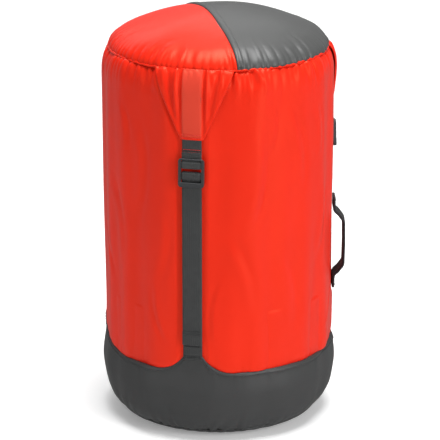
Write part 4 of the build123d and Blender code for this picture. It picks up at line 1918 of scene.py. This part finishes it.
    def tab(self) -> Piece:
        """Make the fabric tab that joins the webbing to the lid's rim."""
        layout = self.layout
        outline = layout.outline
        rows, columns = int(150 * DETAIL.value), int(150 * DETAIL.value)
        low = float(outline.run_at_height(np.array(layout.tab_hem)))
        run = np.linspace(low, layout.rim_run + 0.5 * MM, rows)[:, None] + np.zeros(columns)[None, :]
        height = outline.section(run)[1]
        half = layout.tab_half_width(height)
        aside = half * np.linspace(-1, 1, columns)[None, :]
        share = (run - low) / (layout.rim_run - low)
        lift = self.tab_lift(aside, share, half, run)
        azimuth = self.azimuth + np.degrees(aside / outline.radius)
        points = outline.place(azimuth, run, lift)
        flat = np.stack([aside, run], axis=-1)
        tab = grid_mesh(f"{self.name}_tab_fabric", points, flat)
        thicken(tab, FABRIC)
        tab.data.materials.clear()
        tab.data.materials.append(self.wardrobe.red)
        tab.data.materials.append(self.wardrobe.red_strip)
        self.paint_strip(tab)
        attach(tab, "lid")
        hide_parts(f"{self.name}_tab")
        length = layout.rim_run - low
        return tab

    def paint_strip(self, tab: Piece) -> None:
        """Give the part of the tab that lies on the webbing its duller finish."""
        side = Vector(sideways(self.azimuth))
        top = self.layout.tab_hem + 3 * MM
        for face in tab.data.polygons:
            centre = face.center
            inside = abs(centre.dot(side)) < self.layout.strap_half and centre.z > top
            face.material_index = 1 if inside else 0

    def tab_stitches(self) -> Piece:
        """Sew the two rows across the tab's hem and the two below them on the webbing."""
        hem, hem_half = self.layout.tab_hem, self.layout.tab_hem_half - 1.5 * MM
        rows = [(hem + rise, 3.5 * MM, hem_half, 2.2 * MM) for rise in (2.2 * MM, 5.2 * MM)]
        rows += [(height, 2.25 * MM, 9 * MM, 2.0 * MM) for height in (313.4 * MM, 316.2 * MM)]
        joined = self.sew(f"{self.name}_tab_stitches", rows)
        dress(joined, self.wardrobe.red_thread)
        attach(joined, "lid")
        return joined

    def tab_webbing(self) -> Piece:
        """Make the tab's webbing, which bends into the buckle's loop."""
        over = self.webbing_standoff
        high = self.layout.tab_hem + 44 * MM
        corners = [
            (over, high),
            (over, self.upper_bar - 2.9 * MM),
            (self.loop_front, self.upper_bar - 2.9 * MM),
            (self.loop_front, self.upper_bar + 2.7 * MM),
            (self.tail_standoff, self.upper_bar + 5.5 * MM),
            (self.tail_standoff, self.bend_height + 4 * MM),
        ]
        strap = self.webbing(f"{self.name}_webbing_loop", corners)
        dress(strap, self.wardrobe.webbing)
        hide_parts(f"{self.name}_tab_webbing", f"{self.name}_buckle_loop")
        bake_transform(strap)
        return strap

    def buckle(self) -> Piece:
        """Make the ladder-lock buckle, with its edges rounded as moulded."""
        buckle = softened(f"{self.name}_ladder_lock", f"{self.name}_buckle", 0.32 * MM, 6)
        dress(buckle, self.wardrobe.buckle)
        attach(buckle, f"{self.name}_buckle")
        return buckle

    def load_strap(self) -> Piece:
        """Make the load strap from its sewn foot to under the buckle."""
        corners = [(0.85 * MM, self.strap_foot), (0.85 * MM, 262 * MM)]
        strap = self.webbing(f"{self.name}_load_webbing", corners)
        dress(strap, self.wardrobe.webbing)
        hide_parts(f"{self.name}_load_strap")
        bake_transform(strap)
        return strap

    def strap_turn(self) -> Piece:
        """Make the strap's rise behind the buckle and its turn over the lower bar."""
        corners = [
            (0.9 * MM, 259 * MM),
            (1.0 * MM, 270 * MM),
            (self.webbing_standoff, self.buckle_foot - 1.8 * MM),
            (self.webbing_standoff, self.lower_bar + 3.4 * MM),
            (self.loop_front, self.lower_bar + 3.4 * MM),
            (self.loop_front, self.lower_bar - 2.4 * MM),
            (self.tail_standoff, self.buckle_foot + 5.5 * MM),
            (self.tail_standoff, self.buckle_foot - 0.2 * MM),
        ]
        strap = self.webbing(f"{self.name}_turn_webbing", corners)
        dress(strap, self.wardrobe.webbing)
        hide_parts(f"{self.name}_strap_turn")
        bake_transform(strap)
        return strap

    def tail(self) -> Piece:
        """Make the free tail, folded back on itself at its tip and sewn."""
        low = self.tail_foot
        high = self.buckle_foot + 0.6 * MM
        corners = [(self.tail_standoff, high), (self.tail_standoff + 0.15 * MM, 200 * MM),
                   (self.tail_standoff, low)]
        main = self.webbing(f"{self.name}_tail_main", corners)
        fold = [(self.tail_standoff + 1.1 * MM, low + 0.2 * MM),
                (self.tail_standoff + 0.95 * MM, low + 15 * MM)]
        flap = self.webbing(f"{self.name}_tail_flap", fold, Weave(thickness=0.9 * MM))
        tail = join(f"{self.name}_tail_webbing", [main, flap])
        dress(tail, self.wardrobe.webbing)
        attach(tail, f"{self.name}_tail")
        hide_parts(f"{self.name}_tail")
        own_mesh(tail)
        return tail

    @property
    def tail_keep(self) -> float:
        """Share of the tail that is left when the strap is let out."""
        length = self.buckle_foot - self.tail_foot
        return (length - self.lid_travel) / length

    def tail_stitches(self) -> Piece:
        """Sew the tail's tip."""
        over = self.tail_standoff + 1.5 * MM
        rows = [(self.tail_foot + rise, over, 9 * MM, 2.0 * MM) for rise in (11.8 * MM, 14 * MM)]
        joined = self.sew(f"{self.name}_tail_stitches", rows)
        dress(joined, self.wardrobe.grey_thread)
        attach(joined, f"{self.name}_tail")
        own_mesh(joined)
        return joined

    def foot_stitches(self) -> Piece:
        """Sew the bar tacks that hold the load strap's foot down."""
        rises = (2.4 * MM, 4 * MM, 14.6 * MM)
        rows = [(self.strap_foot + rise, 1.7 * MM, 9.2 * MM, 1.3 * MM) for rise in rises]
        joined = self.sew(f"{self.name}_foot_stitches", rows, 0.32 * MM)
        dress(joined, self.wardrobe.grey_thread)
        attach(joined, "sack")
        return joined

    def build(self) -> list[Piece]:
        """Make every piece of the strap."""
        return [
            self.tab(),
            self.tab_stitches(),
            self.tab_webbing(),
            self.buckle(),
            self.load_strap(),
            self.strap_turn(),
            self.tail(),
            self.tail_stitches(),
            self.foot_stitches(),
        ]


@dataclass
class SideHandle:
    """The webbing handle on the side, sewn down at both ends.

    Attributes:
        layout: where everything is.
        wardrobe: the finishes.
        low: height of the lower end's seam.
        high: height of the upper end's seam.
        standoff: how far the middle of the loop stands off.
        sewn: length of each sewn end.
        weave: how the webbing is woven.
    """

    layout: Layout
    wardrobe: Wardrobe
    low: float = 149 * MM
    high: float = 215 * MM
    standoff: float = 12 * MM
    sewn: float = 16 * MM
    weave: Weave = Weave(25 * MM, 3 * MM, rib=1.9 * MM, rib_height=0.16 * MM, columns=11)

    def half_loop(self, name: str, foot: float, way: float) -> Piece:
        """Make half of the handle, from a sewn end to its middle.

        Args:
            name: the piece's name.
            foot: height where the loop leaves the sack.
            way: 1 if the loop rises from there, or -1.

        Returns:
            The half.
        """
        middle = (self.low + self.high) / 2
        corners = [
            (1.55 * MM, foot - way * self.sewn),
            (1.55 * MM, foot - way * 3 * MM),
            (6.5 * MM, foot + way * 1.5 * MM),
            (self.standoff, foot + way * 9 * MM),
            (self.standoff + 0.4 * MM, middle),
        ]
        path = rounded_path(corners, 7 * MM, 0.5 * MM)
        half = self.weave.ribbon(name, path, self.layout.handle_azimuth, self.layout.outline.radius)
        # The handle's near-black finish is painted shade laid on grey webbing.
        dress(half, self.wardrobe.handle)
        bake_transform(half)
        return half

    def end_stitches(self) -> Piece:
        """Sew a box of stitches on each sewn end."""
        rows = []
        azimuth = self.layout.handle_azimuth
        out, side = outward(azimuth), sideways(azimuth)
        outs = np.tile(out, (2, 1))
        reach = self.layout.outline.radius + 3.1 * MM
        for foot, way in ((self.low, -1), (self.high, 1)):
            near, far = foot + way * 5 * MM, foot + way * (self.sewn - 2 * MM)
            half = 10.5 * MM
            box = [(-half, near), (half, near), (half, far), (-half, far), (-half, near), (half, far)]
            for first, last in zip(box, box[1:]):
                ends = [out * reach + side * x + np.array([0, 0, z]) for x, z in (first, last)]
                rows.append(stitches(f"handle_row_{len(rows)}", np.array(ends), outs, 2.2 * MM))
        joined = join("handle_stitches", rows)
        dress(joined, self.wardrobe.cord)
        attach(joined, "sack")
        return joined

    def build(self) -> list[Piece]:
        """Make every piece of the handle."""
        lower = self.half_loop("handle_lower_half", self.low, 1)
        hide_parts("handle_lower_anchor", "side_handle")
        upper = self.half_loop("handle_upper_half", self.high, -1)
        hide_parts("handle_upper_anchor")
        return [lower, upper, self.end_stitches()]


@dataclass
class Neck:
    """The drawn neck under the lid: collar, channel, cord and cord lock.

    Attributes:
        layout: where everything is.
        wardrobe: the finishes.
        pleats: number of pleats round the neck.
        channel_radius: middle of the channel to the axis.
        channel_height: height of the channel's middle.
        channel_size: radius of the channel's section.
        button_travel: how far the cord lock's button goes in.
    """

    layout: Layout
    wardrobe: Wardrobe
    pleats: int = 34
    channel_radius: float = 18 * MM
    channel_height: float = 418.5 * MM
    channel_size: float = 4 * MM
    button_travel: float = 4 * MM

    def pleat(self, azimuth: Array) -> Array:
        """Uneven pleats round the neck, from 0 to 1."""
        turn = np.radians(azimuth)
        phase = self.pleats / 2 * turn + 0.9 * np.sin(3 * turn) + 0.6 * np.sin(7 * turn + 1)
        return np.abs(np.sin(phase)) ** 0.7

    def collar(self) -> Piece:
        """Make the gathered collar from the neck's seam in to the channel."""
        outline = self.layout.outline
        seam_run = np.array([outline.run_at_shoulder(self.layout.neck_angle)])
        seam_x, seam_z, _ = outline.section(seam_run)
        foot_z = seam_z[0] + 5 * MM
        wall = 18.6 * MM
        corners = [(seam_x[0], seam_z[0]), (wall, foot_z), (wall, self.channel_height - 2 * MM)]
        path = rounded_path(corners, 3 * MM, 1.3 * MM)
        azimuth = np.linspace(-180, 180, int(720 * DETAIL.value), endpoint=False)
        share = np.linspace(0, 1, len(path))[:, None]
        pleat = self.pleat(azimuth)[None, :]
        swell = 2.6 * MM * np.sin(pi * np.clip(share, 0, 1)) * (0.35 + 0.65 * share)
        radius = path[:, 0][:, None] + 0.8 * MM * (pleat - 0.5) * smooth(share, 0.8, 1)
        height = path[:, 1][:, None] + swell * (pleat - 0.35) * (1 - smooth(share, 0.86, 0.97))
        turn = np.radians(azimuth)[None, :]
        points = np.stack([radius * np.sin(turn), -radius * np.cos(turn), height + 0 * turn], axis=-1)
        flat = np.stack(np.broadcast_arrays(turn * self.channel_radius * 3, share * 0.09), axis=-1)
        collar = grid_mesh("neck_collar_fabric", points, flat, closed=True)
        thicken(collar, FABRIC)
        dress(collar, self.wardrobe.red)
        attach(collar, "sack")
        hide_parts("neck_collar")
        return collar

    def channel(self) -> Piece:
        """Make the puckered channel that the drawcord runs in, open at the front."""
        opening = 9.0
        azimuth = np.linspace(opening, 360 - opening, int(640 * DETAIL.value))
        around_section = np.linspace(0, 2 * pi, 22, endpoint=False)
        size = self.channel_size * (0.80 + 0.20 * self.pleat(azimuth))[:, None]
        radius = self.channel_radius + size * np.cos(around_section)[None, :]
        height = self.channel_height + size * np.sin(around_section)[None, :]
        turn = np.radians(azimuth)[:, None]
        points = np.stack([radius * np.sin(turn), -radius * np.cos(turn), height], axis=-1)
        flat = np.stack(
            np.broadcast_arrays(around_section[None, :] * self.channel_size, turn * self.channel_radius * 3),
            axis=-1,
        )
        channel = grid_mesh("drawcord_channel_fabric", points, flat, closed=True)
        cap_ends(channel)
        dress(channel, self.wardrobe.red)
        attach(channel, "sack")
        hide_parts("drawcord_channel")
        return channel

    def cord_parts(self) -> list[Piece]:
        """Dress the cord and its lock."""
        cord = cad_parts["drawcord"]
        repaint(cord, self.wardrobe.cord)
        parts = [cord, self.lock_spring()]
        moulded = {
            "cord_end": ("cord_end_cap", "sack"),
            "cord_lock_barrel": ("cord_lock_housing", "cord_lock"),
            "cord_lock_plunger": ("cord_lock_button", "lock_button"),
        }
        for node, (name, body) in moulded.items():
            part = softened(name, node, 0.22 * MM, 4)
            dress(part, self.wardrobe.lock)
            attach(part, body)
            parts.append(part)
        return parts

    def lock_spring(self) -> Piece:
        """Make the spring under the button."""
        spring = softened("cord_lock_coil", "cord_lock_spring", 0.12 * MM, 1)
        dress(spring, self.wardrobe.steel)
        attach(spring, "cord_lock")
        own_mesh(spring)
        return spring

    def build(self) -> list[Piece]:
        """Make every piece of the neck."""
        return [self.collar(), self.channel(), *self.cord_parts()]


@dataclass(frozen=True)
class Softbox:
    """A rectangular studio light.

    Attributes:
        name: the light's name.
        place: where it stands.
        target: the point it faces.
        size: its width and height.
        power: watts.
    """

    name: str
    place: tuple[float, float, float]
    target: tuple[float, float, float]
    size: tuple[float, float]
    power: float

    def build(self) -> Piece:
        """Put the light in the scene."""
        data = bpy.data.lights.new(self.name, "AREA")
        data.shape = "RECTANGLE"
        data.size, data.size_y = self.size
        data.energy = self.power
        light = bpy.data.objects.new(self.name, data)
        light.location = self.place
        way = Vector(self.target) - Vector(self.place)
        light.rotation_euler = way.to_track_quat("-Z", "Y").to_euler()
        bpy.context.scene.collection.objects.link(light)
        return light


@dataclass
class Studio:
    """Pale floor and backdrop, soft lights and the camera.

    Attributes:
        distance: level distance from the sack's axis to the camera.
        height: the camera's height.
        pitch: degrees that the camera looks down.
        yaw: degrees that it looks to the right.
        lens: focal length in millimetres, for a 36 mm wide sensor.
        floor_half: half of the floor's width.
        floor_back: distance behind the axis where the floor starts to rise.
        floor_bend: radius of its sweep.
        wall: height of the backdrop.
        paper: grey level of the floor.
        paper_glow: light that the floor gives off.
        surround: light from all round.
        lights: the softboxes.
    """

    distance: float = 2.455
    height: float = 1.0
    pitch: float = 17.96
    yaw: float = 0.042
    lens: float = 200.2
    floor_half: float = 4.0
    floor_back: float = 2.6
    floor_bend: float = 1.2
    wall: float = 4.0
    paper: float = 0.93
    paper_glow: float = 0.20
    surround: float = 0.26
    lights: tuple[Softbox, ...] = (
        Softbox("key_light", (1.35, -1.3, 0.75), (0, 0, 0.24), (0.40, 1.4), 21),
        Softbox("top_light", (0.1, -0.1, 1.7), (0, 0, 0.3), (0.9, 0.9), 34),
        Softbox("fill_light", (-1.3, -1.3, 0.7), (0, 0, 0.22), (0.5, 1.4), 4),
        Softbox("backdrop_light", (-0.6, 1.7, 1.6), (-0.6, 1.9, 0), (2.4, 0.8), 16),
    )

    def floor(self) -> Piece:
        """Make the floor, which sweeps up into the backdrop."""
        half, back, bend = self.floor_half, self.floor_back, self.floor_bend
        line = [(-half, 0.0)]
        for t in np.linspace(0, pi / 2, 24):
            line.append((back + bend * sin(t), bend * (1 - cos(t))))
        line.append((back + bend, self.wall))
        points = [(x, y, z) for y, z in line for x in (-half, half)]
        faces = [(2 * i, 2 * i + 1, 2 * i + 3, 2 * i + 2) for i in range(len(line) - 1)]
        sweep = new_mesh("floor_sweep", np.array(points), faces)
        material = bpy.data.materials.new("paper")
        material.use_nodes = True
        shader = material.node_tree.nodes["Principled BSDF"]
        shader.inputs["Base Color"].default_value = (self.paper, self.paper, self.paper, 1)
        shader.inputs["Roughness"].default_value = 0.9
        shader.inputs["Emission Color"].default_value = (1, 1, 1, 1)
        shader.inputs["Emission Strength"].default_value = self.paper_glow
        sweep.data.materials.append(material)
        sweep.visible_glossy = False
        return sweep

    def camera(self) -> Piece:
        """Place the camera."""
        data = bpy.data.cameras.new("camera")
        data.lens = self.lens
        data.sensor_width = 36
        camera = bpy.data.objects.new("camera", data)
        camera.location = (0, -self.distance, self.height)
        camera.rotation_euler = (radians(90 - self.pitch), 0, radians(-self.yaw))
        bpy.context.scene.collection.objects.link(camera)
        bpy.context.scene.camera = camera
        return camera

    def world(self) -> None:
        """Set the soft light from all round."""
        world = bpy.data.worlds.new("studio")
        world.use_nodes = True
        background = world.node_tree.nodes["Background"]
        background.inputs["Color"].default_value = (1, 1, 1, 1)
        background.inputs["Strength"].default_value = self.surround
        bpy.context.scene.world = world

    def build(self) -> None:
        """Set up the studio."""
        self.floor()
        self.camera()
        self.world()
        for light in self.lights:
            light.build()
        bpy.context.scene.view_settings.view_transform = "Standard"


def main() -> None:
    """Build the sack piece by piece, then the studio, and log each piece's face count."""
    low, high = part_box("side_panel")
    crown = 61 * MM
    outline = Outline(radius=float(high[0]), side_top=float(CAD_BOX[1][2]) - crown, crown=crown)
    layout = Layout(outline)
    wardrobe = Wardrobe()
    builders = [SackBody(layout, wardrobe), Neck(layout, wardrobe), Lid(layout, wardrobe)]
    builders += [Strap(name, azimuth, layout, wardrobe) for name, azimuth in layout.strap_azimuths.items()]
    builders.append(SideHandle(layout, wardrobe))
    for builder in builders:
        for piece in builder.build():
            log.info("%s: %d faces", piece.name, len(piece.data.polygons))
    Studio().build()
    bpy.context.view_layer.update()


if __name__ == "__main__":
    main()
